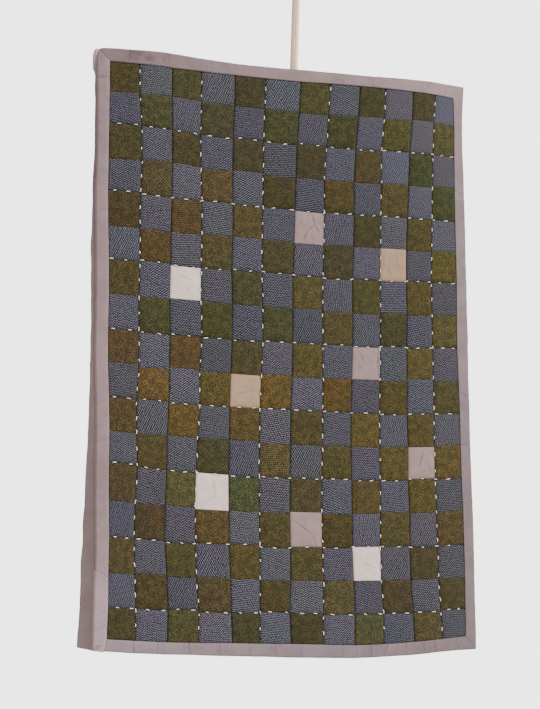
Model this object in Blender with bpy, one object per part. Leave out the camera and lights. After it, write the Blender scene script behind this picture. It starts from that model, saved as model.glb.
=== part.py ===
"""A small quilted wall hanging on a doubled cord.

A panel of twelve columns and seventeen rows of patches is quilted on a square grid and bound with
mitred cloth strips. The margin of the back cloth is turned back along its left edge. The front faces -Y,
the wall is at +Y, and the origin is at the top edge, in front of the place where the cord is sewn on.
Sizes in the tables are millimetres; "across" runs to the right and "down" runs down from the origin.
"""
import math
import random

import bpy
import bmesh

MM = 0.001

# The patchwork
COLUMNS = 12
ROWS = 17
PATCH_STEPS = (0.0, 0.2, 0.8)

# Where the upright seams hang, from the left binding to the right one, with their places at three heights
UPRIGHT_SEAMS = (
    # top, middle, bottom
    (-175.3, -171.7, -167.5),
    (-149.5, -144.3, -141.9),
    (-119.5, -116.3, -113.4),
    (-91.0, -88.3, -85.8),
    (-57.5, -59.5, -55.0),
    (-28.0, -30.7, -29.2),
    (6.1, -1.0, -0.8),
    (35.2, 28.7, 30.5),
    (64.0, 57.3, 60.5),
    (88.2, 85.3, 88.7),
    (117.3, 113.0, 119.5),
    (142.7, 140.3, 148.4),
    (165.0, 169.2, 175.4),
)

# How far down the level seams hang, from the top binding to the bottom one, at three places across
LEVEL_SEAMS = (
    # left, middle, right
    (9.4, 10.8, 8.0),
    (39.0, 40.5, 37.0),
    (66.5, 71.5, 66.7),
    (99.3, 102.4, 98.4),
    (129.5, 133.2, 130.0),
    (161.1, 164.0, 160.3),
    (190.5, 194.7, 190.5),
    (222.1, 226.4, 221.3),
    (254.0, 258.0, 252.0),
    (284.3, 288.8, 283.5),
    (314.0, 319.6, 315.0),
    (343.1, 350.3, 344.8),
    (371.0, 381.0, 374.6),
    (403.9, 411.6, 405.5),
    (435.5, 442.3, 436.4),
    (465.7, 471.6, 466.8),
    (494.7, 501.0, 497.3),
    (522.0, 528.2, 521.0),
)

# The level seams sag lowest a little right of the middle
SAG_SKEW = 0.04

# The strips of patches were sewn as columns, so a level seam steps a little from one column to the next
SEAM_STEP = 1.1
SEAM_SEED = 17

# Soft folds of the hanging cloth: a swell stands forward of the plane it hangs in
SWELLS = (
    # across, down, half width, half height, forward
    (-132.0, -2.0, 36.0, 120.0, 7.0),
    (98.0, -6.0, 62.0, 95.0, 9.5),
    (-27.0, 326.0, 120.0, 160.0, 3.0),
    (53.0, 539.0, 110.0, 60.0, 2.5),
)

# The side edges turn back towards the wall, more so in the upper half
UPPER_HALF = 266.0
RIGHT_TURN = {"from": 115.0, "over": 62.0, "back": 8.0, "more_at_top": 3.0}
LEFT_TURN = {"from": -142.0, "over": 50.0, "back": 1.5, "more_at_top": 3.5}
FURTHEST_TURN = 1.3

# Two slow ripples keep the cloth from lying dead flat
RIPPLES = (
    # height, across in one radian, down in one radian
    (0.6, 19.0, 43.0),
    (0.5, -60.0, 27.0),
)

# Thickness of the padded panel, and how the quilting shapes it
HALF_THICKNESS = 1.5
PATCH_CROWN = 0.9
QUILTED_DITCH = 0.8
PLAIN_DITCH = 0.2
BACK_CROWN = 0.7
BACK_STEEPNESS = 1.6

# The binding: how wide each strip shows on the front, and its folded cloth
BINDING = {"left": 11.4, "top": 10.8, "right": 11.7, "bottom": 11.1}
BINDING_CLOTH = 1.0
FIT_GAP = 0.3
FOLD_ROUNDING = 0.8
FOLD_DROP = 0.2
BACK_LEG_SHORTER = 1.0
JOIN_ROW = 15.1
JOIN_SLANT = 0.65
JOIN_GAP = 0.18
JOIN_CLEAR_ABOVE = 0.4
JOIN_CLEAR_BELOW = 0.15

# The margin of the back cloth beyond the left edge
MARGIN_CLOTH = 1.2
MARGIN_WIDTH = 19.0
MARGIN_SEAT = 7.0
MARGIN_TURN = (95.0, 85.0, 60.0)
MARGIN_BEND = 2.0

# The doubled cord, up one side, round its loop and down the other
CORD_DIAMETER = 3.6
CORD_ACROSS = 2.0
CORD_LEAN = 0.026
CORD_POINT_SPACING = 5.0
CORD_SIDE = (
    # across from the middle of the cord, up from the top edge
    (-1.95, -10.0),
    (-1.95, 5.0),
    (-1.95, 25.0),
    (-1.95, 45.0),
    (-1.95, 62.0),
    (-1.95, 72.0),
    (-2.95, 78.2),
    (-5.7, 81.6),
    (-8.6, 85.2),
    (-9.5, 89.2),
    (-8.2, 93.9),
    (-4.75, 97.4),
)
CORD_LOOP_TOP = (0.0, 98.7)
CURVE_PARTS = 20

# Colours of the cloths, as red, green and blue in linear light
OLIVE_AND_NAVY = (0.085, 0.08, 0.065)
MAUVE = (0.40, 0.32, 0.32)
PALE_MAUVE = (0.46, 0.38, 0.39)
SHADED_MAUVE = (0.24, 0.18, 0.18)
PEACH = (0.65, 0.52, 0.42)

# A place this close to a whole number of patches lies on a seam
ON_SEAM = 1e-6


def through_three(first, middle, last, share):
    """A smooth curve through three values, at a share of the way from the first to the last."""
    return (2 * first * (share - 0.5) * (share - 1)
            + 4 * middle * share * (1 - share)
            + 2 * last * share * (share - 0.5))


def between_seams(seams, place, share):
    """Where a line between two seams lies: place counts seams, share runs along them."""
    index = min(int(place), len(seams) - 2)
    near = through_three(*seams[index], share)
    far = through_three(*seams[index + 1], share)
    return near + (far - near) * (place - index)


def seam_steps():
    """How far each column's level seams sit off their line, for every column and seam."""
    dice = random.Random(SEAM_SEED)
    steps = []
    for _ in range(COLUMNS):
        inner = [dice.uniform(-SEAM_STEP, SEAM_STEP) for _ in range(ROWS - 1)]
        steps.append([0.0] + inner + [0.0])
    return steps


STEPS = seam_steps()


def step_at(column, row):
    """The step of a level line at a place, shared by both columns where it lies on an upright seam."""
    upper = min(int(row), ROWS - 1)
    part = row - upper
    on_seam = abs(column - round(column)) < ON_SEAM
    if on_seam:
        sides = [int(round(column)) - 1, int(round(column))]
    else:
        sides = [int(column)]
    sides = [side for side in sides if 0 <= side < COLUMNS]
    total = sum(STEPS[side][upper] * (1 - part) + STEPS[side][upper + 1] * part for side in sides)
    return total / len(sides)


def turned_back(distance, turn, towards_top):
    """How far back an edge lies, a distance past the line where it starts to turn."""
    past = min(max(distance / turn["over"], 0.0), FURTHEST_TURN)
    return (turn["back"] + turn["more_at_top"] * towards_top) * past ** 2


def forward(across, down):
    """How far the cloth stands forward of its plane."""
    total = 0.0
    for centre, height, half_width, half_height, swell in SWELLS:
        off_centre = ((across - centre) / half_width) ** 2 + ((down - height) / half_height) ** 2
        total += swell * math.exp(-off_centre)
    for height, across_scale, down_scale in RIPPLES:
        total += height * math.sin(across / across_scale + down / down_scale)
    towards_top = min(max(1 - down / UPPER_HALF, 0.0), 1.0)
    total -= turned_back(across - RIGHT_TURN["from"], RIGHT_TURN, towards_top)
    total -= turned_back(LEFT_TURN["from"] - across, LEFT_TURN, towards_top)
    return total


def cloth_point(column, row, right=0.0, up=0.0, back=0.0):
    """A point of the hanging cloth in metres: counted in patches, then moved right, up and back in mm."""
    across = between_seams(UPRIGHT_SEAMS, column, row / ROWS) + right
    share = column / COLUMNS
    share -= SAG_SKEW * math.sin(math.pi * share)
    down = between_seams(LEVEL_SEAMS, row, share) + step_at(column, row) - up
    return (across * MM, (back - forward(across, down)) * MM, -down * MM)


def relief(column, row):
    """The quilted relief on the front: how far it stands above the seam level."""
    on_upright = abs(column - round(column)) < ON_SEAM
    on_level = abs(row - round(row)) < ON_SEAM
    if not on_upright and not on_level:
        return PATCH_CROWN
    quilted = (on_upright and round(column) % 2 == 1) or (on_level and round(row) % 2 == 0)
    return -QUILTED_DITCH if quilted else -PLAIN_DITCH


def back_relief(column, row):
    """The relief on the back, where only the quilted lines draw the cloth in."""
    from_upright = abs(column % 2 - 1)
    from_level = 1 - abs(row % 2 - 1)
    return BACK_CROWN * min(1.0, BACK_STEEPNESS * min(from_upright, from_level))


def add_object(name, mesh, colour, roughness):
    """Put a mesh in the scene as a named object with its own material."""
    material = bpy.data.materials.new(name + "_cloth")
    material.use_nodes = True
    shader = material.node_tree.nodes["Principled BSDF"]
    shader.inputs["Base Color"].default_value = (*colour, 1.0)
    shader.inputs["Roughness"].default_value = roughness
    shader.inputs["Metallic"].default_value = 0.0
    mesh.materials.append(material)
    piece = bpy.data.objects.new(name, mesh)
    bpy.context.scene.collection.objects.link(piece)
    return piece


def finish_mesh(name, shape):
    """Turn a bmesh into a mesh with its faces pointing out."""
    bmesh.ops.recalc_face_normals(shape, faces=shape.faces)
    mesh = bpy.data.meshes.new(name)
    shape.to_mesh(mesh)
    shape.free()
    mesh.shade_smooth()
    mesh.set_sharp_from_angle(angle=math.radians(40))
    return mesh


def lofted(name, rings):
    """A closed solid through rings of points. Each ring is an outer run and an inner run of equal length."""
    shape = bmesh.new()
    rows = []
    for outer, inner in rings:
        rows.append([shape.verts.new(point) for point in outer + inner[::-1]])
    count = len(rows[0])
    for near, far in zip(rows, rows[1:]):
        for index in range(count):
            following = (index + 1) % count
            shape.faces.new((near[index], near[following], far[following], far[index]))
    for ring in (rows[0], rows[-1]):
        for index in range(count // 2 - 1):
            shape.faces.new((ring[index], ring[index + 1], ring[count - 2 - index], ring[count - 1 - index]))
    return finish_mesh(name, shape)


def counted(last):
    """Places from 0 to the last seam, with the steps inside each patch."""
    return [patch + step for patch in range(last) for step in PATCH_STEPS] + [float(last)]


def panel_lines(last, low_reach, high_reach):
    """The panel's grid lines one way: each place in patches, and how far past the seams it reaches."""
    lines = [(0.0, -low_reach)]
    lines += [(place, 0.0) for place in counted(last)]
    lines.append((float(last), high_reach))
    return lines


def make_panel():
    """The padded panel, reaching into the binding on all four sides."""
    hidden = BINDING_CLOTH + FIT_GAP
    columns = panel_lines(COLUMNS, BINDING["left"] - hidden, BINDING["right"] - hidden)
    rows = panel_lines(ROWS, BINDING["top"] - hidden, BINDING["bottom"] - hidden)
    shape = bmesh.new()
    faces = []
    for front in (True, False):
        side = []
        for row_index, (row, below) in enumerate(rows):
            line = []
            for column_index, (column, right) in enumerate(columns):
                inside = 1 < row_index < len(rows) - 2 and 1 < column_index < len(columns) - 2
                if front:
                    back = -HALF_THICKNESS - (relief(column, row) if inside else 0.0)
                else:
                    back = HALF_THICKNESS + (back_relief(column, row) if inside else 0.0)
                line.append(shape.verts.new(cloth_point(column, row, right=right, up=-below, back=back)))
            side.append(line)
        faces.append(side)
        for upper, lower in zip(side, side[1:]):
            for index in range(len(upper) - 1):
                shape.faces.new((upper[index], upper[index + 1], lower[index + 1], lower[index]))
    rims = [rim_of(side) for side in faces]
    for index in range(len(rims[0])):
        following = (index + 1) % len(rims[0])
        shape.faces.new((rims[0][index], rims[0][following], rims[1][following], rims[1][index]))
    return add_object("quilt_panel", finish_mesh("quilt_panel", shape), OLIVE_AND_NAVY, 0.9)


def rim_of(side):
    """The outline of a grid of points, once round."""
    right_side = [line[-1] for line in side[1:-1]]
    left_side = [line[0] for line in side[1:-1]]
    return side[0] + right_side + side[-1][::-1] + left_side[::-1]


def strip_section(width):
    """The folded strip in section: (out from the seam, back) pairs for its outer and its inner face."""
    seat = HALF_THICKNESS + FIT_GAP
    face = seat + BINDING_CLOTH
    inner_edge = width - BINDING_CLOTH
    outer = [(FIT_GAP, -face), (width - FOLD_ROUNDING, FOLD_DROP - face), (width, 0.0),
             (width - FOLD_ROUNDING, face - FOLD_DROP), (BACK_LEG_SHORTER, face)]
    inner = [(FIT_GAP, -seat), (inner_edge, -seat), (inner_edge, 0.0),
             (inner_edge, seat), (BACK_LEG_SHORTER, seat)]
    return outer, inner


def make_strip(name, side, stations, colour):
    """One binding strip. A station is a place in patches and how its end is cut: shift and slant in mm."""
    width = BINDING[side]
    rings = []
    for place, shift, slant in stations:
        ring = []
        for run in strip_section(width):
            points = []
            for out, back in run:
                along = shift + slant * out
                points.append(strip_point(side, place, out, along, back))
            ring.append(points)
        rings.append(ring)
    return add_object(name, lofted(name, rings), colour, 0.85)


def strip_point(side, place, out, along, back):
    """A point of a strip: out from its seam, and along it (right or down) from a place in patches."""
    if side == "left":
        return cloth_point(0, place, right=-out, up=-along, back=back)
    if side == "right":
        return cloth_point(COLUMNS, place, right=out, up=-along, back=back)
    if side == "top":
        return cloth_point(place, 0, right=along, up=out, back=back)
    return cloth_point(place, ROWS, right=along, up=-out, back=back)


def mitre(side, other, at_end):
    """The cut of a strip's end where it meets another strip at a corner: shift and slant."""
    direction = 1 if at_end else -1
    return -direction * FIT_GAP, direction * BINDING[other] / BINDING[side]


def plain_stations(last):
    """The places between a strip's two ends."""
    return [(place, 0.0, 0.0) for place in counted(last)[1:-1]]


def make_binding():
    """The four sides of the binding; the left one is sewn together from two lengths."""
    rows = plain_stations(ROWS)
    columns = plain_stations(COLUMNS)
    top_cut = (0.0, *mitre("left", "top", False))
    upper_rows = [row for row in rows if row[0] < JOIN_ROW - JOIN_CLEAR_ABOVE]
    lower_rows = [row for row in rows if row[0] > JOIN_ROW + JOIN_CLEAR_BELOW]
    upper_join = (JOIN_ROW, -JOIN_GAP, -JOIN_SLANT)
    lower_join = (JOIN_ROW, JOIN_GAP, -JOIN_SLANT)
    left_foot = (float(ROWS), BINDING["bottom"], 0.0)
    make_strip("binding_left_upper", "left", [top_cut, *upper_rows, upper_join], MAUVE)
    make_strip("binding_left_lower", "left", [lower_join, *lower_rows, left_foot], PALE_MAUVE)
    ends = (0.0, *mitre("top", "left", False)), (float(COLUMNS), *mitre("top", "right", True))
    make_strip("binding_top", "top", [ends[0], *columns, ends[1]], MAUVE)
    ends = (0.0, *mitre("right", "top", False)), (float(ROWS), *mitre("right", "bottom", True))
    make_strip("binding_right", "right", [ends[0], *rows, ends[1]], MAUVE)
    ends = (0.0, FIT_GAP, 0.0), (float(COLUMNS), *mitre("bottom", "right", True))
    make_strip("binding_bottom", "bottom", [ends[0], *columns, ends[1]], MAUVE)


def margin_section(turn):
    """The margin's middle line in section: seated on the binding's back, then turned back by an angle."""
    width = BINDING["left"]
    seat = HALF_THICKNESS + FIT_GAP + BINDING_CLOTH + FIT_GAP + MARGIN_CLOTH / 2
    angle = math.radians(turn)
    bend = width - MARGIN_BEND
    start = (bend + MARGIN_BEND * math.cos(angle / 2), seat + MARGIN_BEND * math.sin(angle / 2))
    length = MARGIN_WIDTH / 2
    halfway = (start[0] + length * math.cos(angle), start[1] + length * math.sin(angle))
    end = (halfway[0] + length * math.cos(angle), halfway[1] + length * math.sin(angle))
    return [(width - MARGIN_SEAT, seat), (bend, seat), start, halfway, end]


def offset_run(run, distance):
    """A run of section points moved sideways by a distance."""
    moved = []
    for index, (out, back) in enumerate(run):
        before = run[max(index - 1, 0)]
        after = run[min(index + 1, len(run) - 1)]
        length = math.hypot(after[0] - before[0], after[1] - before[1])
        normal = ((after[1] - before[1]) / length, -(after[0] - before[0]) / length)
        moved.append((out + normal[0] * distance, back + normal[1] * distance))
    return moved


def make_margin():
    """The margin of the back cloth, turned back along the left edge and opening towards the bottom."""
    stations = [(0.0, -BINDING["top"])]
    stations += [(place, 0.0) for place in counted(ROWS)]
    stations.append((float(ROWS), BINDING["bottom"]))
    rings = []
    for place, along in stations:
        middle = margin_section(through_three(*MARGIN_TURN, place / ROWS))
        ring = []
        for distance in (MARGIN_CLOTH / 2, -MARGIN_CLOTH / 2):
            run = offset_run(middle, distance)
            ring.append([seated_point(place, out, along, back) for out, back in run])
        rings.append(ring)
    return add_object("back_margin", lofted("back_margin", rings), SHADED_MAUVE, 0.9)


def seated_point(place, out, along, back):
    """A point of the margin, which follows the folds of the binding's outer fold."""
    reach = min(out, BINDING["left"])
    x, y, z = cloth_point(0, place, right=-reach, up=-along, back=back)
    return (x - (out - reach) * MM, y, z)


def cord_route():
    """The cord's route: its left side, the top of its loop, and its right side."""
    right_side = [(-across, up) for across, up in reversed(CORD_SIDE)]
    seat = HALF_THICKNESS + FIT_GAP + BINDING_CLOTH + FIT_GAP + CORD_DIAMETER / 2
    back = seat - forward(CORD_ACROSS, 0.0)
    route = []
    for across, up in [*CORD_SIDE, CORD_LOOP_TOP, *right_side]:
        route.append((CORD_ACROSS + across + CORD_LEAN * max(up, 0.0), back, up))
    return route


def smooth_points(route, spacing):
    """Evenly spaced points on a smooth curve through a route."""
    fine = []
    padded = [route[0], *route, route[-1]]
    for index in range(len(route) - 1):
        before, start, end, after = padded[index:index + 4]
        for part in range(CURVE_PARTS):
            t = part / CURVE_PARTS
            fine.append(tuple(
                0.5 * (2 * q + (r - p) * t + (2 * p - 5 * q + 4 * r - s) * t ** 2
                       + (3 * q - p - 3 * r + s) * t ** 3)
                for p, q, r, s in zip(before, start, end, after)))
    fine.append(route[-1])
    lengths = [0.0]
    for a, b in zip(fine, fine[1:]):
        lengths.append(lengths[-1] + math.dist(a, b))
    count = round(lengths[-1] / spacing)
    points = []
    index = 0
    for number in range(count + 1):
        wanted = lengths[-1] * number / count
        while index < len(fine) - 2 and lengths[index + 1] < wanted:
            index += 1
        span = lengths[index + 1] - lengths[index]
        part = (wanted - lengths[index]) / span
        points.append(tuple(a + (b - a) * part for a, b in zip(fine[index], fine[index + 1])))
    return points


def make_cord():
    """The doubled cord as one round tube with closed ends."""
    points = smooth_points(cord_route(), CORD_POINT_SPACING)
    curve = bpy.data.curves.new("hanging_cord", "CURVE")
    curve.dimensions = "3D"
    curve.bevel_depth = CORD_DIAMETER / 2 * MM
    curve.bevel_resolution = 2
    curve.use_fill_caps = True
    spline = curve.splines.new("POLY")
    spline.points.add(len(points) - 1)
    for target, (across, back, up) in zip(spline.points, points):
        target.co = (across * MM, back * MM, up * MM, 1.0)
    return add_object("hanging_cord", curve, PEACH, 0.8)


def build():
    """Clear the scene and make every piece."""
    for leftover in list(bpy.data.objects):
        bpy.data.objects.remove(leftover, do_unlink=True)
    make_panel()
    make_binding()
    make_margin()
    make_cord()


build()
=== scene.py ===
# %% [markdown]
# # A small quilted wall hanging
#
# The real piece is sewn from small squares of dark twill and of olive cloth, joined like a chessboard, with a
# few squares of pale linen. Cream running stitches quilt every second seam, a mauve strip binds the edge, and a
# doubled cord holds it up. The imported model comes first, because every piece below is placed by its sizes.

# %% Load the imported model
import math
import random

import bpy
import numpy as np
from mathutils import Matrix, Vector


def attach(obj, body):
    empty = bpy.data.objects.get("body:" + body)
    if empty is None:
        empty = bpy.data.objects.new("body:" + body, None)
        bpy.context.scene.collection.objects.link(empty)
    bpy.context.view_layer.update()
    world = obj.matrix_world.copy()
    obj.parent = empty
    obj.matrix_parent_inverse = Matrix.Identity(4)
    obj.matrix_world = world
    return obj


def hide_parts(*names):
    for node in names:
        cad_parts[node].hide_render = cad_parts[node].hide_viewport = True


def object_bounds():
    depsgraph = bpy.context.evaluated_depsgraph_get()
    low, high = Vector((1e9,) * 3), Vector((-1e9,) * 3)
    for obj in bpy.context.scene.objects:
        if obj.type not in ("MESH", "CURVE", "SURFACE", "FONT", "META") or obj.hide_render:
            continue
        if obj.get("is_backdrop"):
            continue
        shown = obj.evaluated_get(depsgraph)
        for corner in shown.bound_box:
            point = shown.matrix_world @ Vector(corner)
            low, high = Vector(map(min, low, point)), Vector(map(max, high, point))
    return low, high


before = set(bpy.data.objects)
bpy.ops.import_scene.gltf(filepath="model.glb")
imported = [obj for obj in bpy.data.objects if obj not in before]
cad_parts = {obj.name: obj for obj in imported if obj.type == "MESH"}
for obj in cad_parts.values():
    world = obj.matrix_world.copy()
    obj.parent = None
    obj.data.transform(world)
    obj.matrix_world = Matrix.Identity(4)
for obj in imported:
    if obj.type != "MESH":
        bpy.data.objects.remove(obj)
cad_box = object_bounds()
print("nodes in the packed model:", sorted(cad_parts))

# %% [markdown]
# ## The camera
#
# The hanging was photographed from a little to the left and from below its middle, with a long lens. The camera
# is built from its turning angles rather than aimed, so that the small roll of the picture is kept too.

# %% Set up the camera
MM = 0.001
CAMERA_PLACE = (-0.5035, -1.4018, -0.4745)
YAW, PITCH, ROLL = (math.radians(angle) for angle in (19.0, 7.9, 0.42))

ahead = Vector((math.sin(YAW) * math.cos(PITCH), math.cos(YAW) * math.cos(PITCH), math.sin(PITCH)))
level = Vector((math.cos(YAW), -math.sin(YAW), 0.0))
above = level.cross(ahead)
to_right = level * math.cos(ROLL) + above * math.sin(ROLL)
to_top = above * math.cos(ROLL) - level * math.sin(ROLL)

camera_data = bpy.data.cameras.new("photo_view")
camera_data.lens = 83.78
camera_data.sensor_width = 36.0
camera = bpy.data.objects.new("photo_view", camera_data)
turn = Matrix((to_right, to_top, -ahead)).transposed().to_4x4()
camera.matrix_world = Matrix.Translation(CAMERA_PLACE) @ turn
bpy.context.scene.collection.objects.link(camera)
bpy.context.scene.camera = camera
print("camera at", CAMERA_PLACE, "with a lens of", round(camera_data.lens, 1), "mm")

# %% [markdown]
# ## How the cloth hangs
#
# Cloth on a cord never hangs dead flat: its upper corners swing forward and its side edges turn back to the
# wall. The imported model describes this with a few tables, and the same tables place every patch and thread
# here. They are written for NumPy arrays, so that one call places thousands of points.

# %% Seams of the patchwork
COLUMNS = 12
ROWS = 17

# Across, in mm, of each upright seam at the top, the middle and the bottom
UPRIGHT_SEAMS = np.array((
    (-175.3, -171.7, -167.5), (-149.5, -144.3, -141.9), (-119.5, -116.3, -113.4), (-91.0, -88.3, -85.8),
    (-57.5, -59.5, -55.0), (-28.0, -30.7, -29.2), (6.1, -1.0, -0.8), (35.2, 28.7, 30.5), (64.0, 57.3, 60.5),
    (88.2, 85.3, 88.7), (117.3, 113.0, 119.5), (142.7, 140.3, 148.4), (165.0, 169.2, 175.4)))

# Down, in mm, of each level seam at the left, the middle and the right
LEVEL_SEAMS = np.array((
    (9.4, 10.8, 8.0), (39.0, 40.5, 37.0), (66.5, 71.5, 66.7), (99.3, 102.4, 98.4), (129.5, 133.2, 130.0),
    (161.1, 164.0, 160.3), (190.5, 194.7, 190.5), (222.1, 226.4, 221.3), (254.0, 258.0, 252.0),
    (284.3, 288.8, 283.5), (314.0, 319.6, 315.0), (343.1, 350.3, 344.8), (371.0, 381.0, 374.6),
    (403.9, 411.6, 405.5), (435.5, 442.3, 436.4), (465.7, 471.6, 466.8), (494.7, 501.0, 497.3),
    (522.0, 528.2, 521.0)))

SAG_SKEW = 0.04
SEAM_STEP = 1.1
STEP_BLEND = 0.2

dice = random.Random(17)
STEPS = np.array([[0.0] + [dice.uniform(-SEAM_STEP, SEAM_STEP) for _ in range(ROWS - 1)] + [0.0]
                  for _ in range(COLUMNS)])
print("patches:", COLUMNS * ROWS)

# %% Where the seams wander
# How far upright seams are off their smooth lines, in mm to the right, at every crossing from the top down
WANDER = np.zeros((COLUMNS + 1, ROWS + 1))
for seam, offsets in {
    0: (0.2, 0.3, 0.0, -0.4, -0.9, -0.5, 0.3, 0.6, 0.0, 0.0, 1.1, 1.7, 1.4, 1.4, 1.7, 1.1, 1.1, 0.0),
    1: (0.4, 0.5, 2.3, 2.5, 1.3, 0.7, 1.2, 0.4, 0.6, 0.6, -1.6, -1.4, -0.5, -2.1, -2.6, -1.6, -0.3, -0.1),
    3: (0.6, 0.9, 0.6, 1.1, 2.1, 1.9, 1.1, 1.1, 2.0, -0.1, 0.1, -1.8, -2.8, -3.3, -2.7, -1.9, 0.0, -0.1),
    5: (0.6, 0.4, -0.4, 0.1, 0.1, -0.3, 0.1, 1.2, 1.9, 0.7, -0.7, -1.2, -1.6, -0.9, 0.1, 0.5, 0.1, 0.0),
    7: (0.4, -0.3, -0.6, -1.3, -0.1, 0.1, -0.3, -0.6, 0.0, 0.7, 0.8, 0.5, 0.1, 0.2, 0.8, 1.6, 0.4, 0.0),
    9: (1.4, 1.3, -0.8, 0.4, 0.9, 1.2, 1.3, 1.2, 1.2, 0.9, 0.6, 0.3, 0.0, -0.4, -0.9, -0.3, 1.5, 0.6),
    11: (0.9, -0.2, -0.4, 0.0, 0.5, 0.4, 0.3, 0.3, 0.2, 0.2, 0.3, 0.5, 0.7, 0.6, 0.3, -0.3, 0.4, 0.7),
    12: (0.0, 1.1, 0.8, 0.4, 0.2, 0.3, 0.4, -0.7, -1.6, -1.0, 0.0, 0.2, 0.6, 0.9, 0.4, 0.0, -0.5, -1.0),
}.items():
    WANDER[seam] = offsets
for seam in range(2, COLUMNS, 2):
    WANDER[seam] = (WANDER[seam - 1] + WANDER[seam + 1]) / 2 + [dice.uniform(-0.6, 0.6) for _ in range(ROWS + 1)]

# How far the top and the bottom seam hang below their smooth lines, in mm, at every upright seam
DROPS = np.zeros((COLUMNS + 1, ROWS + 1))
DROPS[:, 0] = (1.9, 2.6, 3.3, 1.9, 0.9, 0.5, 0.5, 0.0, 0.2, 0.6, 1.3, 1.1, 1.2)
DROPS[:, ROWS] = (0.7, 0.5, 0.4, -0.3, -0.8, -0.9, -0.8, 0.0, 1.2, 1.4, 0.9, 0.2, 0.4)
print("the seams wander by up to", round(float(np.abs(WANDER).max()), 1), "mm")


# %% Curves through the seams
def through_three(values, share):
    """A smooth curve through three values, at a share of the way from the first to the last."""
    first, middle, last = np.moveaxis(np.asarray(values, dtype=float), -1, 0)
    return 2 * first * (share - 0.5) * (share - 1) + 4 * middle * share * (1 - share) + 2 * last * share * (share - 0.5)


def between_seams(seams, place, share):
    """Where a line between two seams lies: place counts seams, share runs along them."""
    index = np.clip(np.floor(place).astype(int), 0, len(seams) - 2)
    near, far = through_three(seams[index], share), through_three(seams[index + 1], share)
    return near + (far - near) * (place - index)


def column_step(side, row):
    """How far one column's level lines sit off the seam's line, at a row."""
    upper = np.clip(np.floor(row).astype(int), 0, ROWS - 1)
    part = row - upper
    return STEPS[side, upper] * (1 - part) + STEPS[side, upper + 1] * part


def blended_step(column, row):
    """The same step, evened out between two columns close to the seam that joins them."""
    side = np.clip(np.floor(column).astype(int), 0, COLUMNS - 1)
    nearest = np.round(column)
    beside = np.clip(np.where(column < nearest, side + 1, side - 1), 0, COLUMNS - 1)
    share = np.clip(1 - np.abs(column - nearest) / STEP_BLEND, 0, 1) / 2
    return column_step(side, row) * (1 - share) + column_step(beside, row) * share


# %% The folds of the hanging cloth
# Across, down, half width, half height and how far forward, in mm
SWELLS = ((-132.0, -2.0, 36.0, 120.0, 7.0), (98.0, -6.0, 62.0, 95.0, 9.5),
          (-27.0, 326.0, 120.0, 160.0, 3.0), (53.0, 539.0, 110.0, 60.0, 2.5))
UPPER_HALF = 266.0
RIGHT_TURN = {"from": 115.0, "over": 62.0, "back": 8.0, "more_at_top": 3.0}
LEFT_TURN = {"from": -142.0, "over": 50.0, "back": 1.5, "more_at_top": 3.5}
FURTHEST_TURN = 1.3
RIPPLES = ((0.6, 19.0, 43.0), (0.5, -60.0, 27.0))


def turned_back(distance, turn, towards_top):
    """How far back an edge lies, a distance past the line where it starts to turn."""
    past = np.clip(distance / turn["over"], 0.0, FURTHEST_TURN)
    return (turn["back"] + turn["more_at_top"] * towards_top) * past ** 2


def forward(across, down):
    """How far the cloth stands forward of its plane, in mm."""
    total = 0.0
    for centre, height, half_width, half_height, swell in SWELLS:
        total = total + swell * np.exp(-((across - centre) / half_width) ** 2 - ((down - height) / half_height) ** 2)
    for height, across_scale, down_scale in RIPPLES:
        total = total + height * np.sin(across / across_scale + down / down_scale)
    towards_top = np.clip(1 - down / UPPER_HALF, 0.0, 1.0)
    total = total - turned_back(across - RIGHT_TURN["from"], RIGHT_TURN, towards_top)
    return total - turned_back(LEFT_TURN["from"] - across, LEFT_TURN, towards_top)


def read_table(table, column, row):
    """A value from a table with one entry for every crossing, evened out between four of them."""
    left = np.clip(np.floor(column).astype(int), 0, COLUMNS - 1)
    upper = np.clip(np.floor(row).astype(int), 0, ROWS - 1)
    x, y = column - left, row - upper
    return ((table[left, upper] * (1 - x) + table[left + 1, upper] * x) * (1 - y)
            + (table[left, upper + 1] * (1 - x) + table[left + 1, upper + 1] * x) * y)


def cloth_points(column, row, right=0.0, up=0.0, back=0.0, side=None):
    """Points of the hanging cloth in metres: counted in patches, then moved right, up and back in mm."""
    column, row, right, up, back = np.broadcast_arrays(column, row, right, up, back)
    column, row = column.astype(float), row.astype(float)
    across = between_seams(UPRIGHT_SEAMS, column, row / ROWS) + read_table(WANDER, column, row) + right
    share = column / COLUMNS
    share = share - SAG_SKEW * np.sin(math.pi * share)
    step = blended_step(column, row) if side is None else column_step(side, row)
    down = between_seams(LEVEL_SEAMS, row, share) + read_table(DROPS, column, row) + step - up
    return np.stack((across * MM, (back - forward(across, down)) * MM, -down * MM), axis=-1)


print("top left corner of the patches, in metres:", np.round(cloth_points(0.0, 0.0), 4).tolist())

# %% [markdown]
# ## Uneven cloth
#
# Handled cloth has small soft waves in every direction. A sum of sine waves with seeded directions gives such
# an unevenness, is smooth, and comes out the same on each run.


# %% A helper for soft waves
def soft_waves(x, y, size, seed, count=9):
    """Smooth waves of about one mm either way, about so many mm long, in mixed directions."""
    chance = np.random.default_rng(seed)
    total = np.zeros(np.broadcast(x, y).shape)
    for _ in range(count):
        angle = chance.uniform(0, math.pi)
        length = size * chance.uniform(0.7, 1.5)
        phase = chance.uniform(0, 2 * math.pi)
        total += np.sin((x * math.cos(angle) + y * math.sin(angle)) * 2 * math.pi / length + phase)
    return total / math.sqrt(count)


print("highest of some soft waves:", round(float(soft_waves(np.arange(300.0), 0.0, 8.0, 1).max()), 2))

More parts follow.
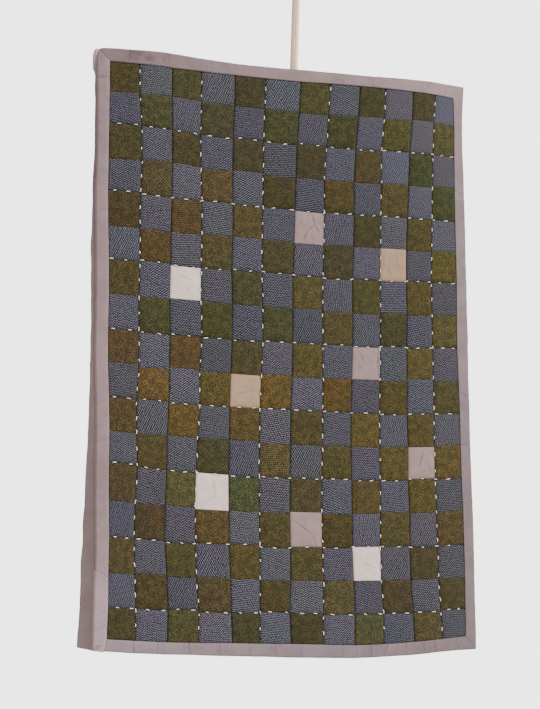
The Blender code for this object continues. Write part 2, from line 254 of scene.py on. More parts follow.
# %% [markdown]
# ## From points to a piece
#
# Each piece is one mesh made from arrays. Besides its shape it carries two things for its cloth: a map called
# `thread_map`, which gives each point its place along the threads in mm, and a colour called `cloth_tint`.
# The weave then keeps its true size, and lies along each patch's own grain, whatever way the cloth hangs.


# %% Helpers that make a piece
def make_piece(name, points, faces, threads, tints, material, body="root"):
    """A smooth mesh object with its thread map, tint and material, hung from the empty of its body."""
    points, tints = np.reshape(points, (-1, 3)), np.reshape(tints, (-1, np.shape(tints)[-1]))
    mesh = bpy.data.meshes.new(name)
    mesh.from_pydata(points.tolist(), [], faces)
    corners = np.empty(len(mesh.loops), dtype=np.int32)
    mesh.loops.foreach_get("vertex_index", corners)
    layer = mesh.uv_layers.new(name="thread_map")
    layer.data.foreach_set("uv", np.reshape(threads, (-1, 2))[corners].astype(np.float32).ravel())
    colour = mesh.color_attributes.new("cloth_tint", "FLOAT_COLOR", "POINT")
    full = np.ones((len(points), 4), dtype=np.float32)
    full[:, :tints.shape[1]] = tints
    colour.data.foreach_set("color", full.ravel())
    mesh.validate()
    mesh.shade_smooth()
    mesh.materials.append(material)
    piece = bpy.data.objects.new(name, mesh)
    bpy.context.scene.collection.objects.link(piece)
    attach(piece, body)
    print(name, "has", sum(len(face) - 2 for face in faces), "triangles")
    return piece


def grid_faces(rows, columns, start=0, turned=False, closed=False):
    """Four-sided faces over a grid of points stored row by row, which may close round from column to column."""
    index = np.arange(rows * columns).reshape(rows, columns) + start
    if closed:
        index = np.hstack((index, index[:, :1]))
    quads = np.stack((index[:-1, :-1], index[:-1, 1:], index[1:, 1:], index[1:, :-1]), axis=-1).reshape(-1, 4)
    return (quads[:, ::-1] if turned else quads).tolist()


def tube_faces(rings, around, start=0, turned=False):
    """Faces of a tube of rings, with one face over each end."""
    first = list(range(start, start + around))
    last = [index + (rings - 1) * around for index in first]
    return (grid_faces(rings, around, start, turned, closed=True)
            + ([first, last[::-1]] if turned else [first[::-1], last]))


def fold_faces(rings, count, turned=False):
    """Faces of a folded sheet's rings. Copies of the first and last ring, stored after the rest, close its ends."""
    low = np.arange(count // 2 - 1)
    end = np.stack((low, low + 1, count - 2 - low, count - 1 - low), axis=1)
    near, far = end + rings * count, (end + (rings + 1) * count)[:, ::-1]
    if turned:
        near, far = near[:, ::-1], far[:, ::-1]
    return grid_faces(rings, count, turned=turned, closed=True) + near.tolist() + far.tolist()


def run_along(line):
    """How far each point of a line is from its start, measured along it."""
    return np.concatenate(([0.0], np.cumsum(np.linalg.norm(np.diff(line, axis=0), axis=1))))


# %% [markdown]
# ## Materials: small helpers
#
# All the cloths are drawn with nodes, because a woven pattern that comes from numbers stays sharp at any
# distance. So that a weave reads like a formula, the output of a node is wrapped as a number that can be added
# and multiplied, and each sign adds one node.


# %% Numbers made of nodes
def add_node(tree, kind, inputs=None, **settings):
    """Add a node, give it its settings, and set or wire its inputs by their names or numbers."""
    node = tree.nodes.new(kind)
    for key, value in settings.items():
        setattr(node, key, value)
    for key, value in (inputs or {}).items():
        value = getattr(value, "socket", value)
        if isinstance(value, bpy.types.NodeSocket):
            tree.links.new(value, node.inputs[key])
        else:
            node.inputs[key].default_value = value
    return node


class Number:
    """A node's output that takes part in sums."""

    def __init__(self, tree, socket):
        self.tree, self.socket = tree, socket

    def worked(self, operation, *others):
        """This number put through one arithmetic node."""
        inputs = dict(enumerate((self, *others)))
        return Number(self.tree, add_node(self.tree, "ShaderNodeMath", inputs, operation=operation).outputs[0])

    def __add__(self, other):
        return self.worked("ADD", other)

    def __sub__(self, other):
        return self.worked("SUBTRACT", other)

    def __mul__(self, other):
        return self.worked("MULTIPLY", other)


# %% A cloth's material
class Cloth:
    """A material with what each cloth reads: its threads in mm, its tint, and where a painted sheen flattens its weave.
    """

    def __init__(self, name, roughness, specular=0.2, sheen=0.05):
        self.material = bpy.data.materials.new(name)
        self.material.use_nodes = True
        self.tree = self.material.node_tree
        self.shader = self.tree.nodes["Principled BSDF"]
        for key, value in (("Roughness", roughness), ("Specular IOR Level", specular), ("Sheen Weight", sheen),
                           ("Sheen Roughness", 0.5)):
            self.shader.inputs[key].default_value = value
        self.threads = add_node(self.tree, "ShaderNodeUVMap", uv_map="thread_map").outputs["UV"]
        drawn = add_node(self.tree, "ShaderNodeVertexColor", layer_name="cloth_tint")
        self.tint, self.unsheened = drawn.outputs["Color"], Number(self.tree, drawn.outputs["Alpha"])

    def noise(self, scale, detail=2.0, roughness=0.5, stretch=None):
        """Noise around 0.5, with a scale in waves per mm, and stretched if that is given."""
        where = self.threads
        if stretch:
            where = add_node(self.tree, "ShaderNodeMapping", {"Vector": where, "Scale": (*stretch, 1.0)}).outputs[0]
        inputs = {"Vector": where, "Scale": scale, "Detail": detail, "Roughness": roughness}
        node = add_node(self.tree, "ShaderNodeTexNoise", noise_dimensions="2D", inputs=inputs)
        return Number(self.tree, node.outputs["Fac"])

    def waves(self, across_mm, down_mm, wobble, wobble_size):
        """A sine wave over the threads with so many turns per mm each way, and its uneven phase."""
        parts = add_node(self.tree, "ShaderNodeSeparateXYZ", {"Vector": self.threads})
        x, y = (Number(self.tree, parts.outputs[axis]) for axis in "XY")
        line = x * across_mm + y * down_mm + (self.noise(wobble_size) - 0.5) * wobble
        return (line * (2 * math.pi)).worked("SINE") * 0.5 + 0.5

    def step(self, value, low, high):
        """0 below low, 1 above high, and soft in between."""
        node = add_node(self.tree, "ShaderNodeMapRange", {"Value": value, "From Min": low, "From Max": high},
                        interpolation_type="SMOOTHSTEP")
        return Number(self.tree, node.outputs["Result"])

    def mix(self, share, first, second, how="MIX"):
        """Two colours mixed by a share."""
        return add_node(self.tree, "ShaderNodeMix", {0: share, 6: first, 7: second}, data_type="RGBA",
                        blend_type=how).outputs[2]

    def times(self, change, colour=None):
        """A colour, or else the tint, with its red, green and blue changed by three shares."""
        return self.mix(1.0, colour or self.tint, (*change, 1.0), "MULTIPLY")

    def shades(self, share, low, high, colour=None):
        """A colour changed one way where the share is 0 and another way where it is 1."""
        return self.mix(share, self.times(low, colour), self.times(high, colour))

    def done(self, colour, height, depth_mm, strength=0.6):
        """The material, with its colour and with a height raised as bump."""
        bump = add_node(self.tree, "ShaderNodeBump",
                        {"Height": height, "Strength": strength, "Distance": depth_mm * MM})
        self.tree.links.new(bump.outputs["Normal"], self.shader.inputs["Normal"])
        self.tree.links.new(colour, self.shader.inputs["Base Color"])
        print("material ready:", self.material.name)
        return self.material


# %% [markdown]
# ## The two woollens
#
# The dark squares are a coarse twill: a navy warp crossed by a paler grey-blue weft that shows as short dashes
# along steep diagonals, about two mm apart. One wave makes the diagonals, a second one breaks them into dashes,
# and noise lets a few dashes fade. The olive squares are shot cloth: warp and weft have different colours, so
# the surface is mottled with rust and green flecks over fine dark dots.

# %% Dark twill
cloth = Cloth("navy_twill", 0.86)
weft = (cloth.waves(0.485, 0.36, 0.5, 0.2) * 0.62 + cloth.waves(0.46, -0.14, 0.9, 0.3) * 0.38
        + (cloth.noise(0.75, 3.0) - 0.5) * 0.75)
# Where the tint's alpha holds a painted sheen, the weave's contrast is lowered.
weft = (cloth.step(weft, 0.48, 0.82) - 0.24) * cloth.unsheened + 0.24
hue = cloth.step(cloth.noise(0.10, 3.0), 0.38, 0.62)
tint = cloth.shades(hue, (0.93, 1.03, 1.00), (1.07, 0.96, 1.10))
navy_twill = cloth.done(cloth.shades(weft, (0.28, 0.25, 0.33), (3.25, 3.35, 3.45), tint), weft, 0.22)

# %% Olive shot cloth
cloth = Cloth("olive_shot", 0.84)
drift = cloth.noise(0.07)
rust = cloth.step(cloth.noise(0.42, stretch=(1.5, 0.35)), 0.46, 0.72) * cloth.step(drift, 0.42, 0.62)
green = cloth.step(cloth.noise(0.42, stretch=(0.3, 1.5)), 0.46, 0.72) * cloth.step(drift, 0.60, 0.40)
weave = (cloth.waves(0.43, 0.38, 0.6, 0.25) * 0.50 + cloth.waves(0.42, -0.36, 0.9, 0.35) * 0.42
         + (cloth.noise(0.7, 3.0) - 0.5) * 1.7)
weave = cloth.step(weave, 0.22, 0.72)
patchy = cloth.step(cloth.noise(0.17, 3.0, 0.6), 0.34, 0.66)
tint = cloth.shades(patchy, (0.70, 0.72, 0.77), (1.21, 1.18, 1.12))
olive = cloth.mix(rust * 0.65, tint, cloth.times((1.38, 0.95, 0.85), tint))
olive = cloth.mix(green * 0.8, olive, cloth.times((0.74, 1.12, 1.05), tint))
olive_shot = cloth.done(cloth.shades(weave, (0.28, 0.32, 0.42), (1.86, 1.73, 1.33), olive), weave, 0.16)

# %% [markdown]
# ## Plain cloths and threads
#
# The pale squares, the binding and the back are plain weave: threads that cross one over one, fine enough to
# look almost smooth, with thicker slubs here and there. The quilting thread and the cord have fine fibres along
# their ply instead of a weave.


# %% Plain weave, thread and cord
def plain_weave(name, roughness, threads_per_mm, contrast, mottling):
    """Cloth woven one over one, with slubs, and mottled a little."""
    cloth = Cloth(name, roughness, specular=0.15, sheen=0.04)
    crossing = cloth.waves(threads_per_mm, 0.0, 0.25, 0.3) * cloth.waves(0.0, threads_per_mm, 0.25, 0.3)
    slubs = cloth.noise(0.7, stretch=(0.12, 1.6)) + cloth.noise(0.7, stretch=(1.6, 0.12))
    weave = crossing * 0.6 + (slubs - 0.7) * 0.9
    fresh = cloth.shades(cloth.step(weave, 0.0, 1.0), [1 - contrast] * 3, [1 + contrast] * 3)
    worn = cloth.times((1 - mottling, 1 - 1.3 * mottling, 1 - 1.1 * mottling), fresh)
    cloudy = cloth.step(cloth.noise(0.055, 3.0, 0.6), 0.3, 0.7)
    return cloth.done(cloth.mix(cloudy, worn, fresh), weave, 0.08, 0.5)


def spun_fibre(name, roughness, contrast):
    """Cotton whose fine fibres run along the ply."""
    cloth = Cloth(name, roughness, sheen=0.12)
    fibres = cloth.noise(1.2, 3.0, stretch=(0.5, 4.0))
    colour = cloth.shades(cloth.step(fibres, 0.3, 0.7), (1 - contrast, 1 - 1.2 * contrast, 1 - 1.5 * contrast),
                          [1 + 0.3 * contrast] * 3)
    return cloth.done(colour, fibres, 0.12, 0.5)


pale_linen = plain_weave("pale_linen", 0.85, 1.1, 0.07, 0.06)
binding_cloth = plain_weave("binding_cloth", 0.88, 1.6, 0.07, 0.10)
back_cloth = plain_weave("back_cloth", 0.9, 1.6, 0.08, 0.10)
quilting_thread = spun_fibre("quilting_thread", 0.75, 0.10)
cord_cotton = spun_fibre("cord_cotton", 0.8, 0.16)

# %% [markdown]
# ## The cord
#
# The cord is one length of soft cotton. It goes up from the back of the top edge, round a small loop for a nail
# or a hook, and down again, so it shows as two runs side by side. It comes before the cloth because its route
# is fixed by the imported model. The tube is modelled with the three strands that it is laid from, since a smooth
# tube would look like wire.

# %% Route of the cord
CORD_DIAMETER = 3.6
CORD_ACROSS = 2.0
CORD_LEAN = 0.026
RUN_APART = 1.93
CORD_SIDE = (*((-RUN_APART, up) for up in (-10.0, 5.0, 25.0, 45.0, 62.0, 72.0)),
             (-2.95, 78.2), (-5.7, 81.6), (-8.6, 85.2), (-9.5, 89.2), (-8.2, 93.9), (-4.75, 97.4))
CORD_LOOP_TOP = (0.0, 98.7)
HALF_THICKNESS = 1.5
FIT_GAP = 0.3
BINDING_CLOTH = 1.0

right_side = [(-across, up) for across, up in reversed(CORD_SIDE)]
cord_seat = HALF_THICKNESS + FIT_GAP + BINDING_CLOTH + FIT_GAP + CORD_DIAMETER / 2
cord_back = cord_seat - float(forward(CORD_ACROSS, 0.0))
route = np.array([(CORD_ACROSS + across + CORD_LEAN * max(up, 0.0), cord_back, up)
                  for across, up in (*CORD_SIDE, CORD_LOOP_TOP, *right_side)])


def smooth_points(route, spacing):
    """Evenly spaced points on a smooth curve through a route."""
    padded = np.vstack((route[:1], route, route[-1:]))
    part = np.linspace(0, 1, 20, endpoint=False)[:, None]
    pieces = [0.5 * (2 * start + (end - before) * part + (2 * before - 5 * start + 4 * end - after) * part ** 2
                     + (3 * start - before - 3 * end + after) * part ** 3)
              for before, start, end, after in zip(padded, padded[1:], padded[2:], padded[3:])]
    fine = np.vstack((*pieces, route[-1:]))
    run = run_along(fine)
    wanted = np.linspace(0.0, run[-1], round(run[-1] / spacing) + 1)
    return np.stack([np.interp(wanted, run, fine[:, axis]) for axis in range(3)], axis=1)


cord_line = smooth_points(route, 0.8)
cord_length = float(run_along(cord_line)[-1])
print("cord length:", round(cord_length, 1), "mm in", len(cord_line), "rings")

# %% The laid cord
CORD_LAY = 9.0
CORD_SIDES = 30
CORD_COLOUR = (0.76, 0.55, 0.39)

ahead = np.gradient(cord_line, axis=0)
ahead /= np.linalg.norm(ahead, axis=1)[:, None]
sideways = np.array((0.0, 1.0, 0.0))
upwards = np.cross(sideways, ahead)[:, None, :]
run = np.linspace(0.0, cord_length, len(cord_line))[:, None]
angle = np.linspace(0.0, 2 * math.pi, CORD_SIDES, endpoint=False)[None, :]
round_cord = angle * CORD_DIAMETER / 2
lobes = np.abs(np.cos(1.5 * (angle - run * 2 * math.pi / CORD_LAY)))
radius = CORD_DIAMETER / 2 * (0.87 + 0.16 * lobes ** 0.7) + 0.03 * soft_waves(run, round_cord, 1.6, 5)
cord_points = (cord_line[:, None, :] + radius[..., None]
               * (np.cos(angle)[..., None] * sideways + np.sin(angle)[..., None] * upwards))
cord_threads = np.stack(np.broadcast_arrays(run + 0 * angle, round_cord + run * 0.62), axis=-1)
# The cord's colour has painted light in it: the grooves between the strands are painted darker, as painted shade, and
# the left run is painted darker and the right run lighter, as painted shade and light from the right.
towards_lit_run = np.clip((cord_line[:, 0] - CORD_ACROSS - CORD_LEAN * cord_line[:, 2]) / RUN_APART, -1, 1)[:, None, None]
cord_colour_and_painted_light = (0.84 + 0.18 * lobes ** 0.8)[..., None] * CORD_COLOUR * (1 + towards_lit_run * np.array((0.30, 0.31, 0.34)))
hanging_cord = make_piece("laid_cord", cord_points * MM, tube_faces(len(cord_line), CORD_SIDES), cord_threads,
                          cord_colour_and_painted_light, cord_cotton)
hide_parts("hanging_cord")

# %% [markdown]
# ## Where the running stitches go
#
# Every second seam is quilted: the odd upright ones and the even level ones. A hand sewer takes a stitch about
# every 14 mm, never quite evenly. The stitches are planned before the patches, because each stitch pulls the
# seam down a little and the cloth puffs up between two of them.

# %% Plan the stitches
STITCH_PITCH = 13.9
STITCH_LENGTH = 3.5
PATCH_WIDE = 28.6
PATCH_HIGH = 30.3


def planned_centres(patches, size, seed):
    """Where along a seam its stitches lie, counted in patches."""
    chance = random.Random(seed)
    centres = []
    place = chance.uniform(2.5, 11.0)
    while place < patches * size - 2.0:
        centres.append(place)
        place += STITCH_PITCH * chance.uniform(0.82, 1.18)
    return np.array(centres) / size


upright_stitches = {seam: planned_centres(ROWS, PATCH_HIGH, 100 + seam) for seam in range(1, COLUMNS, 2)}
level_stitches = {seam: planned_centres(COLUMNS, PATCH_WIDE, 200 + seam) for seam in range(2, ROWS, 2)}
print("stitches planned:", sum(map(len, (*upright_stitches.values(), *level_stitches.values()))))

# %% [markdown]
# ## The quilted relief
#
# Under the stitches the cloth is drawn right down, and at a plain seam it only dips. Away from the seams the
# wadding rounds each square up. The height below is used by the squares and by the ground they lie on.

# %% Height of the quilted front
PATCH_CROWN = 0.9
BINDING_DROP = 0.5
PULL_REACH = 3.6
# The last seam each way, the stitches, the patch size along the seam, and how deep a plain seam dips in mm
UPRIGHT = (COLUMNS, upright_stitches, PATCH_HIGH, 1.3)
LEVEL = (ROWS, level_stitches, PATCH_WIDE, 0.4)


def edge_drop(way, seam, distance, along):
    """How far the cloth dips near one seam."""
    last, stitches, patch_size, plain_drop = way
    if seam in (0, last):
        return BINDING_DROP * np.exp(-distance / 1.3)
    if seam not in stitches:
        return plain_drop * np.exp(-distance)
    nearest = np.abs(along[..., None] - stitches[seam]).min(axis=-1) * patch_size
    pull = np.exp(-(nearest / PULL_REACH) ** 2)
    return (1.25 + 0.55 * pull) * np.exp(-distance / (1.7 + pull))


def front_height(column, row, u, v):
    """Height over the seam level in mm, at shares u and v across and down one square."""
    drops = (edge_drop(UPRIGHT, column, u * PATCH_WIDE, row + v),
             edge_drop(UPRIGHT, column + 1, (1 - u) * PATCH_WIDE, row + v),
             edge_drop(LEVEL, row, v * PATCH_HIGH, column + u),
             edge_drop(LEVEL, row + 1, (1 - v) * PATCH_HIGH, column + u))
    dip = sum(drop ** 3 for drop in drops) ** (1 / 3)
    return PATCH_CROWN + 0.35 * (np.sin(math.pi * u) * np.sin(math.pi * v)) ** 0.8 - 0.2 - dip


print("height at the middle of a square:", round(float(front_height(4, 6, np.array(0.5), np.array(0.5))), 2), "mm")

# %% [markdown]
# ## Colours of the squares
#
# Dark and olive squares take turns. The olive cloth was not one colour: it drifts from green through olive to
# rust and gold over the hanging, so a few soft zones shift it, and each square differs a little besides. Nine
# squares are of pale linen, spread over the hanging.

# %% Colour zones and pale squares
NAVY = np.array((0.0330, 0.0308, 0.0345))
OLIVE = np.array((0.0322, 0.0268, 0.0088))
# Column, row, reach in columns, reach in rows, and the change of red, green and blue
OLIVE_ZONES = (
    (4.0, 1.0, 6.0, 2.6, (0.84, 0.86, 0.88)), (0.0, 4.5, 3.5, 1.6, (1.40, 1.02, 0.95)),
    (3.0, 6.4, 5.0, 1.3, (0.80, 1.04, 1.10)), (2.5, 9.3, 4.5, 2.0, (1.52, 1.16, 0.90)),
    (4.5, 11.6, 1.8, 0.9, (0.72, 0.98, 1.20)), (10.0, 1.2, 3.2, 2.4, (0.92, 1.10, 0.84)),
    (10.5, 5.2, 2.5, 1.8, (1.14, 1.14, 0.80)), (9.0, 9.8, 3.5, 2.6, (1.26, 1.14, 0.80)),
    (5.0, 14.0, 6.0, 1.3, (1.10, 0.98, 0.90)), (6.0, 16.4, 7.0, 0.9, (0.86, 0.96, 0.95)))
CREAM, ROSE, SAND = (0.53, 0.43, 0.385), (0.225, 0.158, 0.152), (0.285, 0.190, 0.125)
# Column and row, both counted from 0
PALE_SQUARES = {(2, 6): CREAM, (6, 4): ROSE, (9, 5): SAND, (4, 9): SAND, (8, 8): ROSE,
                (3, 12): CREAM, (10, 11): ROSE, (6, 13): ROSE, (8, 14): CREAM}


def olive_at(column, row):
    """The olive cloth's colour in one square."""
    colour = OLIVE.copy()
    for centre, height, wide, high, change in OLIVE_ZONES:
        weight = math.exp(-((column - centre) / wide) ** 2 - ((row - height) / high) ** 2)
        colour *= 1 + (np.array(change) - 1) * weight
    chance = np.random.default_rng(1000 + column * 31 + row)
    return colour * chance.uniform(0.82, 1.20) * chance.uniform((0.84, 0.93, 0.80), (1.16, 1.07, 1.20))


def navy_at(column, row):
    """The dark twill's colour in one square; towards the upper right it is paler, with a flatter weave, as painted
    sheen.
    """
    chance = np.random.default_rng(2000 + column * 37 + row)
    painted_sheen = math.exp(-((column - 10.5) / 2.6) ** 2 - ((row - 0.5) / 3.0) ** 2)
    colour = NAVY * chance.uniform(0.84, 1.16) * chance.uniform((0.94, 0.96, 0.93), (1.05, 1.04, 1.08))
    return np.append(colour * (1 + 0.35 * painted_sheen), 1 - 0.6 * painted_sheen)


print("pale squares:", len(PALE_SQUARES))

# %% Sort the squares into their cloths
sorts = {"navy_squares": [], "olive_squares": [], "pale_squares": []}
for row in range(ROWS):
    for column in range(COLUMNS):
        if (column, row) in PALE_SQUARES:
            sorts["pale_squares"].append((column, row, PALE_SQUARES[column, row]))
        elif (column + row) % 2 == 0:
            sorts["olive_squares"].append((column, row, olive_at(column, row)))
        else:
            sorts["navy_squares"].append((column, row, navy_at(column, row)))
print({name: len(squares) for name, squares in sorts.items()})

# %% [markdown]
# ## The squares
#
# Each square is its own small piece of cloth with its edges turned under, so it is modelled as a closed, thin
# pad: a finely divided top, a rim that goes down into the seam, and a flat underside. Creases are listed
# where the cloth shows them. The squares of one cloth are then joined to one object.

# %% Creases in single squares
# Column, row, start and end as shares of the square, depth and half width in mm
CREASES = (
    (6, 4, (0.58, 0.10), (0.66, 0.42), 0.45, 0.8), (6, 4, (0.66, 0.42), (0.86, 0.66), 0.42, 0.8),
    (6, 4, (0.66, 0.42), (0.40, 0.62), 0.35, 0.8), (6, 4, (0.40, 0.62), (0.30, 0.92), 0.50, 0.8),
    (6, 4, (0.25, 0.30), (0.05, 0.50), 0.20, 1.1),
    (9, 5, (0.60, 0.15), (0.68, 0.62), 0.26, 0.9), (9, 5, (0.25, 0.55), (0.40, 0.90), 0.20, 0.9),
    (7, 11, (0.45, 0.05), (0.52, 0.95), 0.45, 1.0), (10, 10, (0.15, 0.20), (0.85, 0.80), 0.40, 1.2),
    (8, 8, (0.90, 0.10), (0.93, 0.90), 0.50, 0.8), (8, 8, (0.28, 0.20), (0.42, 0.58), 0.30, 0.9),
    (8, 8, (0.42, 0.58), (0.20, 0.66), 0.20, 1.0),
    (4, 9, (0.15, 0.62), (0.80, 0.48), 0.22, 1.0), (4, 9, (0.60, 0.12), (0.72, 0.42), 0.18, 0.8),
    (2, 6, (0.30, 0.28), (0.66, 0.42), 0.22, 0.8), (2, 6, (0.62, 0.58), (0.45, 0.92), 0.16, 0.9),
    (10, 11, (0.55, 0.08), (0.38, 0.66), 0.36, 0.9), (10, 11, (0.70, 0.50), (0.86, 0.88), 0.24, 0.9),
    (6, 13, (0.12, 0.28), (0.62, 0.60), 0.34, 0.9), (6, 13, (0.62, 0.60), (0.80, 0.92), 0.26, 0.8),
    (8, 14, (0.28, 0.48), (0.82, 0.64), 0.24, 0.9), (8, 14, (0.56, 0.10), (0.48, 0.44), 0.16, 0.8),
    (3, 12, (0.50, 0.10), (0.58, 0.62), 0.22, 0.8), (3, 12, (0.58, 0.62), (0.26, 0.84), 0.18, 0.9),
    (5, 3, (0.10, 0.80), (0.90, 0.62), 0.20, 1.4), (1, 12, (0.20, 0.15), (0.80, 0.85), 0.20, 1.4))
CREASE_STRENGTH = 1.6


def creased(column, row, u, v):
    """How deep the creases of one square are, in mm."""
    depth = np.zeros_like(u)
    size = np.array((PATCH_WIDE, PATCH_HIGH))
    for at_column, at_row, start, end, deep, half_width in CREASES:
        if (at_column, at_row) != (column, row):
            continue
        way = (np.array(end) - start) * size
        x, y = (u - start[0]) * PATCH_WIDE, (v - start[1]) * PATCH_HIGH
        share = np.clip((x * way[0] + y * way[1]) / (way @ way), 0, 1)
        off = np.hypot(x - share * way[0], y - share * way[1])
        fade = np.sin(math.pi * np.clip(0.12 + 0.76 * share, 0, 1))
        depth += deep * fade * (np.exp(-(off / half_width) ** 2) - 0.45 * np.exp(-((off - 2.2) / 1.2) ** 2))
    return CREASE_STRENGTH * depth


print("squares with creases:", len({crease[:2] for crease in CREASES}))

# %% One square of cloth
UPRIGHT_GAP = 0.15
PATCH_CLOTH = 0.9
UNDER_EDGE = np.array((0.004, 0.0, 0.004))


def rim_indices(shape):
    """The outline of a stored grid, once round."""
    index = np.arange(shape[0] * shape[1]).reshape(shape[:2])
    return np.concatenate((index[0], index[1:, -1], index[-1, -2::-1], index[-2:0:-1, 0]))


def square_grid(fine):
    """Shares across and down one square, closer together near its edges, and the indices of its rim."""
    steps = np.linspace(0, 1, fine + 1)
    steps = steps - 0.07 * np.sin(2 * math.pi * steps)
    return *np.meshgrid(steps, steps), rim_indices((fine + 1, fine + 1))


def turned_threads(column, row, place):
    """A square's places turned to its grain: most lines climb right, some climb left, a few lie flat."""
    chance = random.Random(3000 + column * 41 + row)
    kind = chance.random()
    lean = -96 if kind < 0.68 else 0 if kind < 0.90 else -52
    grain = math.radians(lean + chance.uniform(-9, 9))
    turn = np.array(((math.cos(grain), -math.sin(grain)), (math.sin(grain), math.cos(grain))))
    return place @ turn.T + np.array((column * 61.7 + row * 17.3, row * 53.9 - column * 29.1))


def square_mesh(column, row, first_point, grid):
    """Points, faces and thread map of one square, and how deep its points lie and are folded."""
    u, v, outline = grid
    folds = creased(column, row, u, v)
    x, y = (column + u) * PATCH_WIDE, (row + v) * PATCH_HIGH
    calm = 1 - np.exp(-np.minimum.reduce((u, 1 - u, v, 1 - v)) * 15)
    height = (front_height(column, row, u, v) - folds
              + calm * (0.10 * soft_waves(x, y, 9.0, 11) + 0.05 * soft_waves(x, y, 3.6, 12)))
    top = cloth_points(column + u, row + v, right=UPRIGHT_GAP * (1 - 2 * u), back=-HALF_THICKNESS - height,
                       side=column).reshape(-1, 3)
    rim = top[outline] + np.array((0.0, PATCH_CLOTH * MM, 0.0))
    rim = rim + (top[len(top) // 2] - rim) * UNDER_EDGE
    under, upper = np.arange(len(rim)) + first_point + len(top), outline + first_point
    faces = grid_faces(*u.shape, first_point, turned=True)
    faces += np.stack((upper, np.roll(upper, -1), np.roll(under, -1), under), axis=1).tolist()
    faces.append(under.tolist())
    place = np.stack((u.ravel() * PATCH_WIDE, -v.ravel() * PATCH_HIGH), axis=1)
    threads = turned_threads(column, row, np.vstack((place, place[outline])))
    # How deep each point lies below the square's top; this sets the painted shade of the seam ditch, and the rim lies
    # fully in it.
    depth = np.append(np.clip(0.1 - height.ravel() - folds.ravel(), 0, 1), np.ones(len(rim)))
    return np.vstack((top, rim)), faces, threads, depth, np.append(folds, folds.ravel()[outline])


# %% Sew the squares of each cloth together
RUSTY_SHARE = 0.42
RUSTY = np.array((1.40, 0.84, 0.85))


def rusty_edge(column, row, grid):
    """A rusty tinge along one edge of some olive squares."""
    chance = random.Random(4000 + column * 43 + row)
    if chance.random() > RUSTY_SHARE:
        return 1.0
    u, v, outline = grid
    from_edge = chance.choice((u, 1 - u, v, 1 - v)).ravel() * PATCH_WIDE
    along = chance.choice((u + v, u - v + 1)).ravel() / 2
    weight = np.exp(-(from_edge / chance.uniform(2.2, 4.2)) ** 2) * np.exp(-((along - chance.random()) / 0.45) ** 2)
    return 1 + 0.5 * np.append(weight, weight[outline])[:, None] * (RUSTY - 1)


def make_squares(name, fine, material):
    """All the squares of one cloth as one object."""
    points, faces, threads, tints, total = [], [], [], [], 0
    grid = square_grid(fine)
    for column, row, colour in sorts[name]:
        some, more, place, depth, folds = square_mesh(column, row, total, grid)
        shade = np.tile(colour, (len(some), 1))
        # Painted shade: points deep in the seam ditch and in creases are painted darker, and the low ridges beside the
        # creases are painted lighter, as painted light.
        shade[:, :3] *= 1 - 0.40 * depth[:, None] ** 2
        shade[:, :3] *= 1 - (0.42 * np.clip(folds, 0, 1) ** 0.8 + 0.22 * np.clip(folds, -1, 0))[:, None]
        if name == "olive_squares":
            shade[:, :3] *= rusty_edge(column, row, grid)
        if name == "pale_squares":
            shade[:, :3] *= 1 + 0.030 * soft_waves(place[:, 0], place[:, 1], 9.0, 61)[:, None]
        for parts, part in ((points, some), (threads, place), (tints, shade)):
            parts.append(part)
        faces += more
        total += len(some)
    piece = make_piece(name, np.vstack(points), faces, np.vstack(threads), np.vstack(tints), material)
    return piece


navy_squares = make_squares("navy_squares", 24, navy_twill)
olive_squares = make_squares("olive_squares", 24, olive_shot)
pale_squares = make_squares("pale_squares", 52, pale_linen)

# %% [markdown]
# ## The ground and the back
#
# Under the squares lie their turned-in edges, the wadding and the back cloth. Only the back cloth shows, and
# the seam turnings at the bottom of each ditch, so one closed body stands for all of them: its front stays
# just below the squares, and its back has the soft channels that the quilting draws in. The front is coloured
# darker than the squares' dark cloths, as painted shade in the ditches.

# %% The crumpled corner
BINDING = {"left": 11.4, "top": 10.8, "right": 11.7, "bottom": 11.1}
TOP_LEFT_HIGH = BINDING["top"] + DROPS[0, 0] + 0.2
CORNER = cloth_points(0.0, 0.0, right=-BINDING["left"], up=TOP_LEFT_HIGH)


def softened_corner(points):
    """The top left corner, crumpled in by the fold that hides the strip's end."""
    right = (points[..., 0] - CORNER[0]) / MM
    down = (CORNER[2] - points[..., 2]) / MM
    near = np.exp(-((np.maximum(right, 0) / 3.4 + np.maximum(down, 0) / 5.5) / 0.85) ** 2)
    moved = np.stack((2.2 * near, 0.9 * near * np.sin(right * 1.1 + down * 0.7), -1.4 * near), axis=-1)
    return points + moved * MM


print("the corner is at", np.round(CORNER, 4).tolist())

# %% The body of the quilt
PANEL_SHORTER = BINDING_CLOTH + FIT_GAP
BELOW_SQUARES = 0.75
FRONT_PARTS = (0.0, 0.05, 0.14, 0.3, 0.5, 0.7, 0.86, 0.95)
BACK_PARTS = tuple(part / 8 for part in range(8))
# The seam turnings' dark cloth, painted darker still as shade in the ditches
TURNINGS_IN_PAINTED_SHADE = (0.018, 0.016, 0.016)
MAUVE = (0.208, 0.145, 0.149)


def lines_of(last, parts, low_side, high_side):
    """A grid's lines one way, as places in patches and how far each reaches past the outer seams in mm."""
    inner = [patch + part for patch in range(last) for part in parts]
    places = np.array([0.0, *inner, float(last), float(last)])
    reach = np.zeros(len(places))
    reach[0], reach[-1] = PANEL_SHORTER - BINDING[low_side], BINDING[high_side] - PANEL_SHORTER
    return places, reach


def ground_height(column, row):
    """The squares' height, taken at the corners of the ground's own coarser grid."""
    side = np.clip(np.floor(column), 0, COLUMNS - 1)
    upper = np.clip(np.floor(row), 0, ROWS - 1)
    height = np.zeros(column.shape)
    for which in set(zip(side.ravel().astype(int), upper.ravel().astype(int))):
        here = (side == which[0]) & (upper == which[1])
        height[here] = front_height(*which, column[here] - which[0], row[here] - which[1])
    return height


